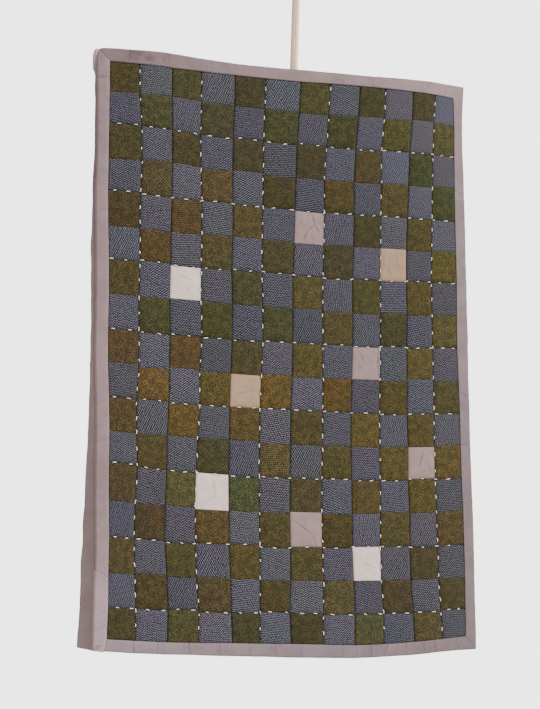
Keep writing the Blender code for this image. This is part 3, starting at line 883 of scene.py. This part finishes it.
def back_height(column, row):
    """The back's relief: only the quilted lines draw the cloth in, and it puckers between the stitches."""
    from_upright = np.abs(column % 2 - 1) * PATCH_WIDE
    from_level = (1 - np.abs(row % 2 - 1)) * PATCH_HIGH
    nearest = np.minimum(from_upright, from_level)
    x, y = column * PATCH_WIDE, row * PATCH_HIGH
    return (0.85 * (1 - np.exp(-nearest / 5.5)) + 0.13 * soft_waves(x, y, 16.0, 21)
            + 0.11 * np.exp(-nearest / 9.0) * soft_waves(x, y, 7.0, 22))


def body_side(parts, front):
    """One side of the body as a grid of points, with its thread map."""
    columns, rights = lines_of(COLUMNS, parts, "left", "right")
    rows, belows = lines_of(ROWS, parts, "top", "bottom")
    column, row = np.meshgrid(columns, rows)
    right, below = np.meshgrid(rights, belows)
    height = ground_height(column, row) - BELOW_SQUARES if front else back_height(column, row)
    back = HALF_THICKNESS + np.where((right == 0) & (below == 0), height, 0.0)
    points = cloth_points(column, row, right=right, up=-below, back=-back if front else back)
    return points, np.stack((column * PATCH_WIDE + right, -row * PATCH_HIGH - below), axis=-1)


front_grid, front_threads = body_side(FRONT_PARTS, True)
back_grid, back_threads = body_side(BACK_PARTS, False)
print("front grid", front_grid.shape[:2], "and back grid", back_grid.shape[:2])

# %% Close the body at its edge
front_count = front_grid.shape[0] * front_grid.shape[1]
front_rim, back_rim = rim_indices(front_grid.shape), rim_indices(back_grid.shape) + front_count
body_faces = (grid_faces(*front_grid.shape[:2], turned=True) + grid_faces(*back_grid.shape[:2], start=front_count)
              + np.stack((front_rim, np.roll(front_rim, -1), np.roll(back_rim, -1), back_rim), axis=1).tolist())
body_points = softened_corner(np.vstack((front_grid.reshape(-1, 3), back_grid.reshape(-1, 3))))
body_threads = np.vstack((front_threads.reshape(-1, 2), back_threads.reshape(-1, 2)))
body_tints = np.vstack((np.tile(TURNINGS_IN_PAINTED_SHADE, (front_count, 1)), np.tile(MAUVE, (len(body_points) - front_count, 1))))
quilt_body = make_piece("quilt_body", body_points, body_faces, body_threads, body_tints, back_cloth)
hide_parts("quilt_panel")

# %% [markdown]
# ## The running stitches
#
# The quilting thread has two plies. Each stitch comes up out of the seam, lies on it for three to four mm and
# goes down again, with a little difference in length, angle and seat. On the back the same thread shows as the
# longer stitches between them.

# %% One stitch along its seam
SEAM_FINE = 48
STITCH_RINGS = 12
PLY_SIDES = 7
PLY_RADIUS = 0.22
PLY_OFFSET = 0.20
THREAD_TWIST = 3.1
THREAD_COLOUR = (0.94, 0.89, 0.78)


def seam_line(seam, upright):
    """A quilted seam as a line of points, with the place of each; level seams step with the columns."""
    if upright:
        places = np.linspace(0, ROWS, ROWS * SEAM_FINE + 1)
        return places, cloth_points(float(seam), places)
    places = np.linspace(0, COLUMNS, COLUMNS * SEAM_FINE + 1)
    points = cloth_points(places, float(seam), side=np.clip(np.floor(places).astype(int), 0, COLUMNS - 1))
    points[:, 2] = np.convolve(np.pad(points[:, 2], 2, mode="edge"), np.ones(5) / 5, mode="valid")
    return places, points


def stitch_points(line, places, centre, half_length, patch_size, dive, lift, chance):
    """Points of one two-ply stitch along a seam line."""
    share = np.linspace(-1, 1, STITCH_RINGS)
    around = np.linspace(0, 2 * math.pi, PLY_SIDES, endpoint=False)[None, :, None]
    wanted = centre + share * half_length / patch_size
    axis = np.stack([np.interp(wanted, places, line[:, k]) for k in range(3)], axis=1)
    outward = np.array((0.0, -1.0, 0.0))
    sideways = np.cross(axis[-1] - axis[0], outward)
    sideways /= np.linalg.norm(sideways)
    lean, seat = chance.uniform(-0.35, 0.35), chance.uniform(-0.30, 0.30)
    bow = lift - dive * np.abs(share) ** 5
    axis = axis + (outward * bow[:, None] + sideways * (seat + lean * share)[:, None]) * MM
    phase = chance.uniform(0, 2 * math.pi)
    thin = PLY_RADIUS * (1 - 0.25 * np.abs(share) ** 6)[:, None, None]
    plies = []
    for ply in (0.0, math.pi):
        turn = (phase + ply + share * half_length * 2 * math.pi / THREAD_TWIST)[:, None]
        middle = axis + (np.cos(turn) * outward + np.sin(turn) * sideways) * PLY_OFFSET * MM
        plies.append(middle[:, None, :] + (np.cos(around) * outward + np.sin(around) * sideways) * thin * MM)
    return plies


# %% All the stitches
def make_stitches(name, behind, half_length, dive, lift):
    """All the stitches of one side as one object. The back's lie between the front's."""
    chance = random.Random(78 if behind else 77)
    points, faces, threads, tints, total = [], [], [], [], 0
    round_it = np.tile(np.linspace(0, 2.6, PLY_SIDES), STITCH_RINGS)
    for stitches, upright, size in ((upright_stitches, True, PATCH_HIGH), (level_stitches, False, PATCH_WIDE)):
        for seam, centres in stitches.items():
            places, line = seam_line(seam, upright)
            for centre in (centres[1:] + centres[:-1]) / 2 if behind else centres:
                half = half_length * chance.uniform(0.66, 1.28)
                along = np.repeat(np.linspace(0, 2 * half, STITCH_RINGS), PLY_SIDES)
                for ply in stitch_points(line, places, centre, half, size, dive, lift, chance):
                    if behind:
                        ply[..., 1] = 2 * np.interp(centre, places, line[:, 1]) - ply[..., 1]
                    points.append(ply.reshape(-1, 3))
                    faces += tube_faces(STITCH_RINGS, PLY_SIDES, total, turned=behind)
                    threads.append(np.stack((along + total, round_it), axis=1))
                    tints.append(np.tile(np.array(THREAD_COLOUR) * chance.uniform(0.76, 1.06), (len(along), 1)))
                    total += len(along)
    piece = make_piece(name, np.vstack(points), faces, np.vstack(threads), np.vstack(tints), quilting_thread)
    return piece


front_stitches = make_stitches("front_stitches", False, STITCH_LENGTH / 2, 1.6, HALF_THICKNESS + 0.25)
back_stitches = make_stitches("back_stitches", True, (STITCH_PITCH - STITCH_LENGTH) / 2, 1.2, HALF_THICKNESS + 0.55)

# %% [markdown]
# ## The binding
#
# The edge is bound with straight strips of the mauve cloth, folded over it from front to back. On the front a
# strip starts as a rounded fold in the seam, lies almost flat, and turns round the edge. The corners are
# mitred, and the left strip is sewn together from two lengths. Each strip is a loft of this folded section
# along its side. Small puckers and marks make it look sewn, so they are put in as shape and tint. The tint
# also carries painted light and shade: along each strip, in the seam, on the fold, at the puckers and in some
# of the marks.

# %% The folded section
STRIP_FACE = HALF_THICKNESS + FIT_GAP + BINDING_CLOTH
EDGE_ROUND = 1.5


def folded_section(width):
    """Outer and inner run of a strip in section, as out from the seam and back in mm, and the way outwards."""
    face = STRIP_FACE
    seam_fold = [(0.75, -1.35), (0.20, -1.7), (0.04, -2.1), (0.20, -2.5), (0.8, -2.78)]
    flat = [(out, -face - 0.22 * math.sin(math.pi * (out - 0.8) / (width - 2.6)))
            for out in np.linspace(1.5, width - 1.9, 9)]
    bend = [(width - EDGE_ROUND + EDGE_ROUND * math.cos(turn), face * math.sin(turn))
            for turn in np.linspace(-math.pi / 2, math.pi / 2, 11)]
    rear = [(out, face + 0.12 * math.sin(math.pi * (out - 1) / (width - 2.6)))
            for out in np.linspace(width - 2.4, 1.6, 6)]
    outer = np.array([*seam_fold, *flat, *bend, *rear, (1.05, face - 0.25), (1.0, face - 0.7)])
    inner = np.stack((np.minimum(outer[:, 0] + 0.15, width - 0.95), outer[:, 1] * 0.70), axis=1)
    tangent = np.gradient(outer, axis=0)
    outwards = np.stack((tangent[:, 1], -tangent[:, 0]), axis=1)
    return outer, inner, outwards / np.linalg.norm(outwards, axis=1)[:, None]


print("a strip measures", round(float(run_along(folded_section(BINDING["left"])[0])[-1]), 1), "mm round its fold")

# %% Puckers, marks and widths
# On each side: place in patches, how deep in mm, half width in mm, and how far the pucker leans
PUCKERS = {
    "bottom": (
        (0.94, 0.34, 0.9, 0.1), (1.69, 0.40, 0.8, -0.05), (2.71, 0.42, 0.9, 0.1), (3.60, 0.20, 1.2, 0.0),
        (4.62, 0.36, 0.9, 0.05), (5.50, 0.22, 1.0, 0.1), (6.30, 0.24, 1.2, -0.1), (7.62, 0.34, 0.8, 0.0),
        (8.05, 0.28, 1.0, 0.1), (8.55, 0.42, 1.0, 0.0), (9.05, 0.40, 1.1, -0.35), (9.41, 0.32, 0.9, -0.2),
        (9.72, 0.46, 0.9, 0.0), (10.30, 0.24, 1.0, 0.1), (10.70, 0.44, 0.9, 0.1), (11.62, 0.32, 1.2, 0.2)),
    "top": ((1.72, 0.28, 1.0, 0.2), (10.56, 0.36, 0.8, 0.35), (5.10, 0.16, 1.6, -0.3), (3.30, 0.18, 1.2, 0.1),
            (7.40, 0.16, 1.4, 0.1), (11.55, 0.22, 0.9, 0.1)),
    "right": ((9.42, 0.34, 1.0, 0.2), (3.10, 0.16, 1.6, 0.3), (14.2, 0.22, 1.6, -0.3)),
    "left": ((0.56, 0.34, 0.8, -0.1), (4.60, 0.14, 1.8, 0.3), (11.3, 0.16, 1.8, 0.3)),
}
# On each side: place in patches, half length in mm, centre out from the seam in mm, half width in mm, and tint;
# some are marks in the cloth, and some are painted shade in creases and painted highlights along the fold and edge
MARKS_AND_PAINTED_LIGHT = {
    "top": (
        (0.84, 6.2, 8.5, 4.2, (0.64, 0.52, 0.58)), (1.30, 3.8, 6.5, 3.0, (0.62, 0.56, 0.60)),
        (0.66, 0.9, 9.0, 4.5, (0.70, 0.62, 0.66)), (1.86, 1.0, 10.2, 2.3, (0.48, 0.44, 0.48)),
        (1.05, 8.0, 13.0, 2.0, (0.82, 0.76, 0.80)), (3.72, 1.0, 8.0, 2.4, (0.74, 0.72, 0.74)),
        (-0.26, 1.4, 8.5, 1.4, (0.60, 0.55, 0.58)), (10.52, 1.0, 6.5, 5.0, (1.16, 1.14, 1.14))),
    "left": (
        (-0.1, 1.3, 9.2, 1.2, (0.66, 0.60, 0.62)), (0.45, 22.0, 3.0, 1.8, (1.24, 1.22, 1.20)),
        (0.50, 0.7, 6.0, 4.2, (0.74, 0.70, 0.72)), (1.6, 16.0, 6.0, 6.0, (1.06, 0.98, 0.97)),
        (14.0, 40.0, 12.0, 1.1, (1.16, 1.16, 1.18)), (12.4, 16.0, 6.0, 6.0, (0.94, 0.90, 0.90)),
        (17.25, 0.7, 10.6, 1.9, (0.50, 0.48, 0.50)), (17.20, 0.7, 8.4, 1.8, (0.52, 0.50, 0.52)),
        (17.16, 0.7, 6.6, 1.3, (0.70, 0.67, 0.70)), (17.14, 2.2, 3.0, 1.0, (0.86, 0.84, 0.84)),
        (14.4, 9.0, 4.0, 3.0, (1.10, 1.06, 1.09))),
    "bottom": (
        (0.07, 0.8, 6.0, 5.0, (1.12, 1.11, 1.10)), (11.76, 1.6, 5.5, 4.5, (0.70, 0.68, 0.68)),
        (9.40, 9.0, 4.5, 4.0, (1.10, 1.09, 1.07)), (3.2, 14.0, 5.0, 5.0, (0.95, 0.92, 0.92)),
        (7.0, 12.0, 7.0, 5.0, (0.97, 1.0, 0.98))),
    "right": (
        (0.9, 20.0, 12.5, 2.2, (0.93, 1.02, 0.98)), (0.5, 16.0, 4.5, 3.5, (1.06, 0.97, 1.01)),
        (-0.40, 1.4, 13.0, 2.2, (0.74, 0.70, 0.68)), (10.95, 1.5, 6.0, 6.0, (0.80, 0.76, 0.78)),
        (9.7, 7.0, 5.0, 7.0, (0.92, 0.90, 0.90)), (1.5, 30.0, 6.0, 9.0, (1.05, 1.01, 1.0)),
        (4.2, 32.0, 6.0, 9.0, (0.95, 0.99, 0.98))),
}
# The width of each strip on the front, in mm, at places counted in patches
WIDTHS = {
    "binding_left_long": ((0, 0.6, 1.3, 2.1, 2.8, 3.5, 4, 5, 7, 10, 13, 15.2),
                          (11.4, 11.1, 10.5, 10.3, 10.2, 10.6, 10.7, 11.1, 11.5, 11.6, 11.5, 11.3)),
    "binding_left_short": ((15.2, 16, 16.6, 17), (12.3, 12.4, 12.2, 11.9)),
    "binding_top_strip": ((0, 1, 2, 3, 4, 5, 6, 7, 8, 9, 10, 11, 11.65, 12),
                          (12.9, 13.4, 14.0, 12.7, 11.6, 11.6, 12.3, 11.4, 10.9, 11.3, 12.5, 12.8, 13.0, 15.0)),
    "binding_right_strip": (
        (0, 0.35, 1, 1.8, 2.6, 3.4, 4.5, 5.8, 6.6, 7.6, 8.3, 9, 10, 11.3, 12.5, 13.5, 15, 16.1, 17),
        (15.0, 12.9, 11.5, 11.3, 12.4, 12.8, 12.6, 12.4, 13.1, 14.2, 13.7, 13.0, 12.5, 12.4, 12.6, 12.5, 12.2, 12.8,
         13.5)),
    "binding_bottom_strip": ((0, 1, 2, 3, 4, 5, 6, 7, 8, 9, 10, 11, 12),
                             (10.7, 10.8, 10.8, 10.7, 11.5, 11.7, 12.2, 11.9, 11.8, 11.5, 11.9, 11.9, 12.4)),
}
# Width of the strips at each corner, the upright one first, and the gap between them
CORNERS = {"top left": (11.4, 12.9, 0.14), "top right": (15.0, 15.0, 0.02), "bottom right": (13.5, 12.4, 0.24)}
JOIN_ROW = 15.2
JOIN_SLANT = 0.67
BUTT_BEND = 2.2
END_BLEND = 0.3
# Each side's colour at its start and at its end, as shares of the strip's red, green and blue: painted light and
# shade along each strip, with a small change of hue
SIDE_HUE_AND_PAINTED_LIGHT = {
    "left": ((0.96, 0.96, 0.975), (1.01, 1.015, 1.02)), "top": ((0.73, 0.75, 0.755), (1.20, 1.30, 1.25)),
    "right": ((1.01, 1.11, 1.09), (0.69, 0.74, 0.745)), "bottom": ((0.95, 1.06, 1.11), (0.68, 0.74, 0.75)),
}
# How much lighter the fold beside the squares is painted, as a painted highlight
FOLD_PAINTED_HIGHLIGHT = {"left": 0.20, "top": 0.08, "right": 0.05, "bottom": 0.10}
# Unevenness of the dye: how much finer it is round the strip, its size in mm, its seed, and its change of colour
MOTTLES = ((1.3, 7.0, 6, (0.022, -0.014, -0.008)), (1.0, 45.0, 7, (0.028, 0.028, 0.028)),
           (1.6, 26.0, 9, (-0.014, 0.030, 0.020)))
print("puckers:", sum(map(len, PUCKERS.values())), "and marks:", sum(map(len, MARKS_AND_PAINTED_LIGHT.values())))


# %% Stations along a strip
def stations(start, end, start_cut, end_cut, per_patch=20):
    """Places along a strip, and how each ring is shifted and slanted, so that the ends meet their cuts."""
    places = np.linspace(start, end, int((end - start) * per_patch) + 1)
    shift, slant = np.zeros(len(places)), np.zeros(len(places))
    for at, cut in ((start, start_cut), (end, end_cut)):
        share = np.clip(1 - np.abs(places - at) / END_BLEND, 0, 1)
        shift += cut[0] * share
        slant += cut[1] * share
    return places, shift, slant


def strip_points(side, place, out, along, back):
    """Points of a strip: out from its seam, and along it (right or down) from a place in patches."""
    if side == "left":
        return cloth_points(0.0, place, right=-out, up=-along, back=back)
    if side == "right":
        return cloth_points(float(COLUMNS), place, right=out, up=-along, back=back)
    if side == "top":
        return cloth_points(place, 0.0, right=along, up=out, back=back)
    return cloth_points(place, float(ROWS), right=along, up=-out, back=back)


def strip_rings(name, side, places, seed, size):
    """A strip's rings as out from the seam and back, once round its outer and its inner run, and that run."""
    width = BINDING[side]
    outer, inner, outwards = folded_section(width)
    arc = run_along(outer)
    place_mm = places[:, None] * size
    out, back = outer.T
    bump = 0.11 * soft_waves(place_mm, arc * 1.2, 13.0, seed) + 0.07 * soft_waves(place_mm, arc, 5.0, seed + 1)
    for place, depth, half_width, lean in PUCKERS[side]:
        off = (place_mm - place * size - lean * (arc - width / 2)) / half_width
        bump -= depth * (np.exp(-off ** 2) - 0.5 * np.exp(-(off - 1.9) ** 2))
    bump *= np.clip(arc / 2.5, 0, 1) * np.clip((arc[-1] - arc) / 2.5, 0, 1)
    bump *= 1 - 0.7 * np.clip(1 - np.abs(back) / 2.6, 0, 1)
    inside = np.clip(np.minimum(places - places[0], places[-1] - places) / END_BLEND, 0, 1)[:, None]
    wider = np.interp(places, *WIDTHS[name])[:, None] - width
    wider = (wider + 0.12 * inside * soft_waves(place_mm, 0.0, 40.0, seed + 2)) * np.clip(out / width, 0, 1) ** 2
    core_back = np.broadcast_to(inner[:, 1], bump.shape)
    outs = np.hstack((out + outwards[:, 0] * bump * 0.7 + wider, (inner[:, 0] + wider)[:, ::-1]))
    backs = np.hstack((back + outwards[:, 1] * bump, core_back[:, ::-1]))
    return outs, backs, np.concatenate((arc, arc[::-1]))


def strip_tints(side, along, around, seed, size, places):
    """How a strip's colour changes over its shade, its unevenness, its seam, its puckers and its marks."""
    middle = BINDING[side] / 2
    first, last = np.array(SIDE_HUE_AND_PAINTED_LIGHT[side])
    whole = ROWS if side in ("left", "right") else COLUMNS
    # Painted light and shade along the strip, from its start to its end, with a small change of hue
    tints = first + (last - first) * places[:, None, None] / whole
    tints = tints * (1 + sum(soft_waves(along, around * finer, length, seed + more)[..., None] * np.array(change)
                             for finer, length, more, change in MOTTLES))
    # Painted shadow: the strip's first mm round its fold, down in the seam, is painted much darker
    tints = tints * (1 - np.exp(-(around / 1.2) ** 2)[..., None] * np.array((0.78, 0.74, 0.74)))
    # A painted highlight along the fold's rounding, stronger in some places than in others
    light = FOLD_PAINTED_HIGHLIGHT[side] * np.exp(-((around - 2.5) / 0.7) ** 2)
    tints *= 1 + (light * np.clip(0.7 + 0.6 * soft_waves(along, 0.0, 60.0, seed + 10), 0.2, 1.5))[..., None]
    # Painted shade and light at the puckers: a darker line in each pucker and a lighter one beside it
    for place, depth, half_width, lean in PUCKERS[side]:
        off = (along - place * size - lean * (around - middle)) / half_width
        line = (0.14 * np.exp(-(off - 1.7) ** 2) - 0.24 * np.exp(-off ** 2)) * depth / 0.3
        tints *= 1 + (line * np.clip(0.75 + 0.35 * soft_waves(along, around, 7.0, seed + 8), 0, 1.3))[..., None]
    # Marks in the cloth, with painted shade in creases and painted highlights along the fold and the edge
    for place, half_length, centre, half_width, tint in MARKS_AND_PAINTED_LIGHT[side]:
        weight = np.exp(-((along - place * size) / half_length) ** 2 - ((around - centre) / half_width) ** 2)
        weight = weight * np.clip(0.8 + 0.5 * soft_waves(along, around, 6.0, seed + 3), 0, 1)
        tints *= 1 + (np.array(tint) - 1) * weight[..., None]
    return tints


# %% Make a strip
def make_strip(name, side, cut_stations, node, colour, seed):
    """One strip of the binding, closed at its ends."""
    size = PATCH_HIGH if side in ("left", "right") else PATCH_WIDE
    places, shift, slant = cut_stations
    outs, backs, arc = strip_rings(name, side, places, seed, size)
    alongs = shift[:, None] + slant[:, None] * outs
    if name == "binding_bottom_strip":
        near_start = np.clip(1 - (places - places[0]) / END_BLEND, 0, 1)[:, None]
        alongs = alongs - BUTT_BEND * near_start * np.clip(outs / BINDING[side], 0, 1) ** 2
    along = places[:, None] * size + alongs
    if name == "binding_left_short":
        past = np.clip((along - ROWS * size) / BINDING["bottom"], 0, 1)
        outs = outs + BUTT_BEND * past ** 2 * np.clip(1 - outs / BINDING[side], 0, 1)
    points = softened_corner(strip_points(side, places[:, None], outs, alongs, backs))
    around = np.tile(arc, (len(places), 1))
    tints = strip_tints(side, along, around, seed, size, places) * colour
    if side == "left":
        from_join = np.abs(along - JOIN_ROW * size + JOIN_SLANT * outs)
        join_line = 0.36 * np.exp(-(from_join / 0.55) ** 2) - 0.10 * np.exp(-((from_join - 1.4) / 0.8) ** 2)
        even = 1.055 if name == "binding_left_long" else 0.93
        tints = tints * ((1 + join_line) * (1 + (even - 1) * np.exp(-(from_join / 16.0) ** 2)))[..., None]
    faces = fold_faces(*outs.shape, turned=side in ("right", "top"))
    points, threads, tints = (np.concatenate((values, values[[0, -1]]))
                              for values in (points, np.stack((along, around), axis=-1), tints))
    piece = make_piece(name, points, faces, threads, tints, binding_cloth)
    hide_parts(node)
    return piece


def mitre(side, corner, at_end):
    """The cut of a strip's end at a corner, as shift and slant."""
    direction = 1 if at_end else -1
    upright, level, gap = CORNERS[corner]
    own, other = (upright, level) if side in ("left", "right") else (level, upright)
    return -direction * gap, direction * other / own


# %% The five strips
LOWER_MAUVE = (0.262, 0.190, 0.202)
strips = [
    make_strip("binding_left_long", "left",
               stations(0.0, JOIN_ROW, mitre("left", "top left", False), (0.0, -JOIN_SLANT)),
               "binding_left_upper", MAUVE, 31),
    make_strip("binding_left_short", "left",
               stations(JOIN_ROW, float(ROWS), (0.0, -JOIN_SLANT), (BINDING["bottom"] + 0.2, -0.10), 70),
               "binding_left_lower", LOWER_MAUVE, 35),
    make_strip("binding_top_strip", "top",
               stations(0.0, float(COLUMNS), mitre("top", "top left", False), mitre("top", "top right", True)),
               "binding_top", MAUVE, 39),
    make_strip("binding_right_strip", "right",
               stations(0.0, float(ROWS), mitre("right", "top right", False), mitre("right", "bottom right", True)),
               "binding_right", MAUVE, 43),
    make_strip("binding_bottom_strip", "bottom",
               stations(0.0, float(COLUMNS), (0.08, 0.0), mitre("bottom", "bottom right", True)),
               "binding_bottom", MAUVE, 47),
]

# %% [markdown]
# ## The margin behind the left edge
#
# The back cloth is wider than the quilt, and its margin is turned back towards the wall along the left edge.
# It opens more towards the bottom, so it shows there as a wider band in the shade. It is a thin sheet that
# starts behind the binding, bends, and ends in a free edge with slow waves.

# %% The margin's section
MARGIN_CLOTH = 1.2
MARGIN_WIDTH = 19.0
MARGIN_SEAT = 7.0
MARGIN_TURN = (95.0, 85.0, 60.0)
# Rows, and how much further the margin turns there, in degrees
MARGIN_EXTRA = ((0, 0.25, 0.6, 1.3, 2.8, 3.5, 4.3, 5.7, 6.5, 7.2, 7.9, 9.4, 10.2, 10.9, 11.6, 12.4, 13.1, 13.8,
                 14.6, 16, 17),
                (0, 5, 7, 14, 15.5, 13.5, 7.5, 7, 4.5, 8.5, 12, 10.5, 9, 7, 5, 0, 3, 1, -2.5, -2.5, -1.5))
# Distances from the margin's top, and how far in behind the strip it is folded there, all in mm
MARGIN_IN = ((0, 8, 17, 30, 44, 97, 120), (0, 0.4, 1.0, 0.6, 0.9, 1.1, 0))
MARGIN_BEND = 2.0
MARGIN_MAUVE = np.array((0.202, 0.143, 0.143))
# How far the margin's lower end is drawn up at its fold and at its free edge, in mm, and over which height
MARGIN_LIFT = (1.2, 3.3)
LIFT_OVER = 24.0


def margin_run(turn, width):
    """Middle line of the margin in section, for one turn in degrees and one width of the free part."""
    seat = STRIP_FACE + FIT_GAP + MARGIN_CLOTH / 2
    angle = math.radians(turn)
    bend = BINDING["left"] - MARGIN_BEND
    held = [(out, seat) for out in np.linspace(BINDING["left"] - MARGIN_SEAT, bend - 0.5, 4)]
    bent = [(bend + MARGIN_BEND * math.sin(part), seat + MARGIN_BEND * (1 - math.cos(part)))
            for part in np.linspace(0, angle, 6)]
    free = np.linspace(width / 9, width, 9)[:, None] * (math.cos(angle), math.sin(angle)) + bent[-1]
    return np.vstack((held, bent, free))


def margin_ring(place, along, length_mm, from_top, from_end):
    """One station of the margin, as points once round its section, and how far round each lies."""
    turn = float(through_three(MARGIN_TURN, place / ROWS)) + 2.0 * float(soft_waves(length_mm, 0.0, 70.0, 51))
    corner_share = 1 - 0.30 * max(1 - from_top / 7.0, 0) ** 2
    middle = margin_run(turn + np.interp(place, *MARGIN_EXTRA), (MARGIN_WIDTH - 1.0) * corner_share)
    tangent = np.gradient(middle, axis=0)
    tangent /= np.linalg.norm(tangent, axis=1)[:, None]
    normal = np.stack((tangent[:, 1], -tangent[:, 0]), axis=1)
    arc = run_along(middle)
    loose = np.clip((arc - MARGIN_SEAT) / 8.0, 0, 1)
    wave = loose * (0.35 * soft_waves(length_mm, arc, 34.0, 52) + 0.08 * soft_waves(length_mm, arc, 8.0, 53))
    thick = np.full(len(middle), MARGIN_CLOTH / 2)
    thick[-1] *= 0.45
    out, back = np.vstack((middle + normal * (wave + thick)[:, None],
                           (middle + normal * (wave - thick)[:, None])[::-1])).T
    out = out - np.interp(from_top, *MARGIN_IN)
    arc = np.concatenate((arc, arc[::-1]))
    lift = np.interp(np.clip((arc - MARGIN_SEAT) / MARGIN_WIDTH, 0, 1), (0, 1), MARGIN_LIFT)
    reach = np.minimum(out, BINDING["left"])
    points = cloth_points(0.0, place, right=-reach, up=lift * math.exp(-(from_end / LIFT_OVER) ** 2) - along, back=back)
    points[:, 0] -= (out - reach) * MM
    return points, np.stack((np.full(len(arc), length_mm), arc), axis=1)


# %% Make the margin
places = np.concatenate((np.zeros(5), np.linspace(0.0, ROWS, ROWS * 8 + 1), np.full(5, float(ROWS))))
beyond = np.concatenate((np.linspace(-TOP_LEFT_HIGH, -1.5, 5), np.zeros(ROWS * 8 + 1),
                         np.linspace(1.5, BINDING["bottom"], 5)))
run_mm = places * PATCH_HIGH + beyond
from_top = run_mm - run_mm[0]
made = [margin_ring(*station) for station in zip(places, beyond, run_mm, from_top, run_mm[-1] - run_mm)]
margin_points, margin_threads = (np.array([*values, values[0], values[-1]]) for values in zip(*made))
length, arc = margin_threads[..., 0], margin_threads[..., 1]
# Painted light: the margin's top end is painted up to 2.8 times lighter. Painted shade: the margin is painted darker
# near its fold, behind the binding, and lighter towards its free edge.
lit_top = 1 + 1.8 * np.exp(-((length - run_mm[0]) / 9.5) ** 2)
from_fold = np.clip((arc - MARGIN_SEAT) / MARGIN_WIDTH, 0, 1)[..., None]
shading = lit_top[..., None] * (np.array((0.977, 0.938, 0.925)) + np.array((0.09, 0.20, 0.18)) * from_fold)
turned_margin = make_piece("turned_margin", margin_points, fold_faces(len(made), arc.shape[1]), margin_threads,
                           shading * MARGIN_MAUVE, back_cloth)
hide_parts("back_margin")

# %% [markdown]

# %% [markdown]
# ## Floor, sky and light
#
# The stage is plain: a pale floor, a pale surround and one large soft light from the front and the right. The
# turned margin on the left then lies in the shade. The surround gives a dimmer light than it shows behind the
# hanging, as a bright wall behind a piece does.

# %% Floor
FLOOR_RADIUS = 2.1
FLOOR_HEIGHT = -0.75

floor_mesh = bpy.data.meshes.new("floor")
turns = np.linspace(0, 2 * math.pi, 96, endpoint=False)
rim = [(FLOOR_RADIUS * math.cos(turn), FLOOR_RADIUS * math.sin(turn), FLOOR_HEIGHT) for turn in turns]
floor_mesh.from_pydata(rim, [], [list(range(len(rim)))])
floor = bpy.data.objects.new("floor", floor_mesh)
bpy.context.scene.collection.objects.link(floor)
floor_paint = bpy.data.materials.new("floor_paint")
floor_paint.use_nodes = True
paint = floor_paint.node_tree.nodes["Principled BSDF"].inputs
paint["Base Color"].default_value = (0.93, 0.93, 0.92, 1.0)
paint["Roughness"].default_value = 0.9
floor_mesh.materials.append(floor_paint)
floor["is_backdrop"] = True
print("floor at z =", FLOOR_HEIGHT)

# %% Surround and soft light
SHOWN_BRIGHTNESS = 3.6
AMBIENT = 0.85

world = bpy.data.worlds.new("pale_surround")
bpy.context.scene.world = world
world.use_nodes = True
tree = world.node_tree
background = tree.nodes["Background"]
background.inputs["Color"].default_value = (1.0, 1.0, 0.995, 1.0)
seen = Number(tree, add_node(tree, "ShaderNodeLightPath").outputs["Is Camera Ray"])
tree.links.new((seen * (SHOWN_BRIGHTNESS - AMBIENT) + AMBIENT).socket, background.inputs["Strength"])

sun_data = bpy.data.lights.new("soft_key", "SUN")
sun_data.energy = 5.2
sun_data.angle = math.radians(22)
sun_data.color = (1.0, 0.985, 0.96)
sun = bpy.data.objects.new("soft_key", sun_data)
bpy.context.scene.collection.objects.link(sun)
sun.rotation_euler = Vector((-0.45, 1.0, -1.05)).to_track_quat("-Z", "Y").to_euler()
print("lights:", [item.name for item in bpy.data.lights])

# %% [markdown]
# ## Measure and finish
#
# The boxes of the imported model and of the dressed hanging are printed side by side. The dressed hanging may
# not grow out of the imported model's box.

# %% Write the two boxes and finish
shown_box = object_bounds()
for label, box in (("packed model", cad_box), ("dressed model", shown_box)):
    print(label, "in mm:", [round((high - low) * 1000, 1) for low, high in zip(*box)])
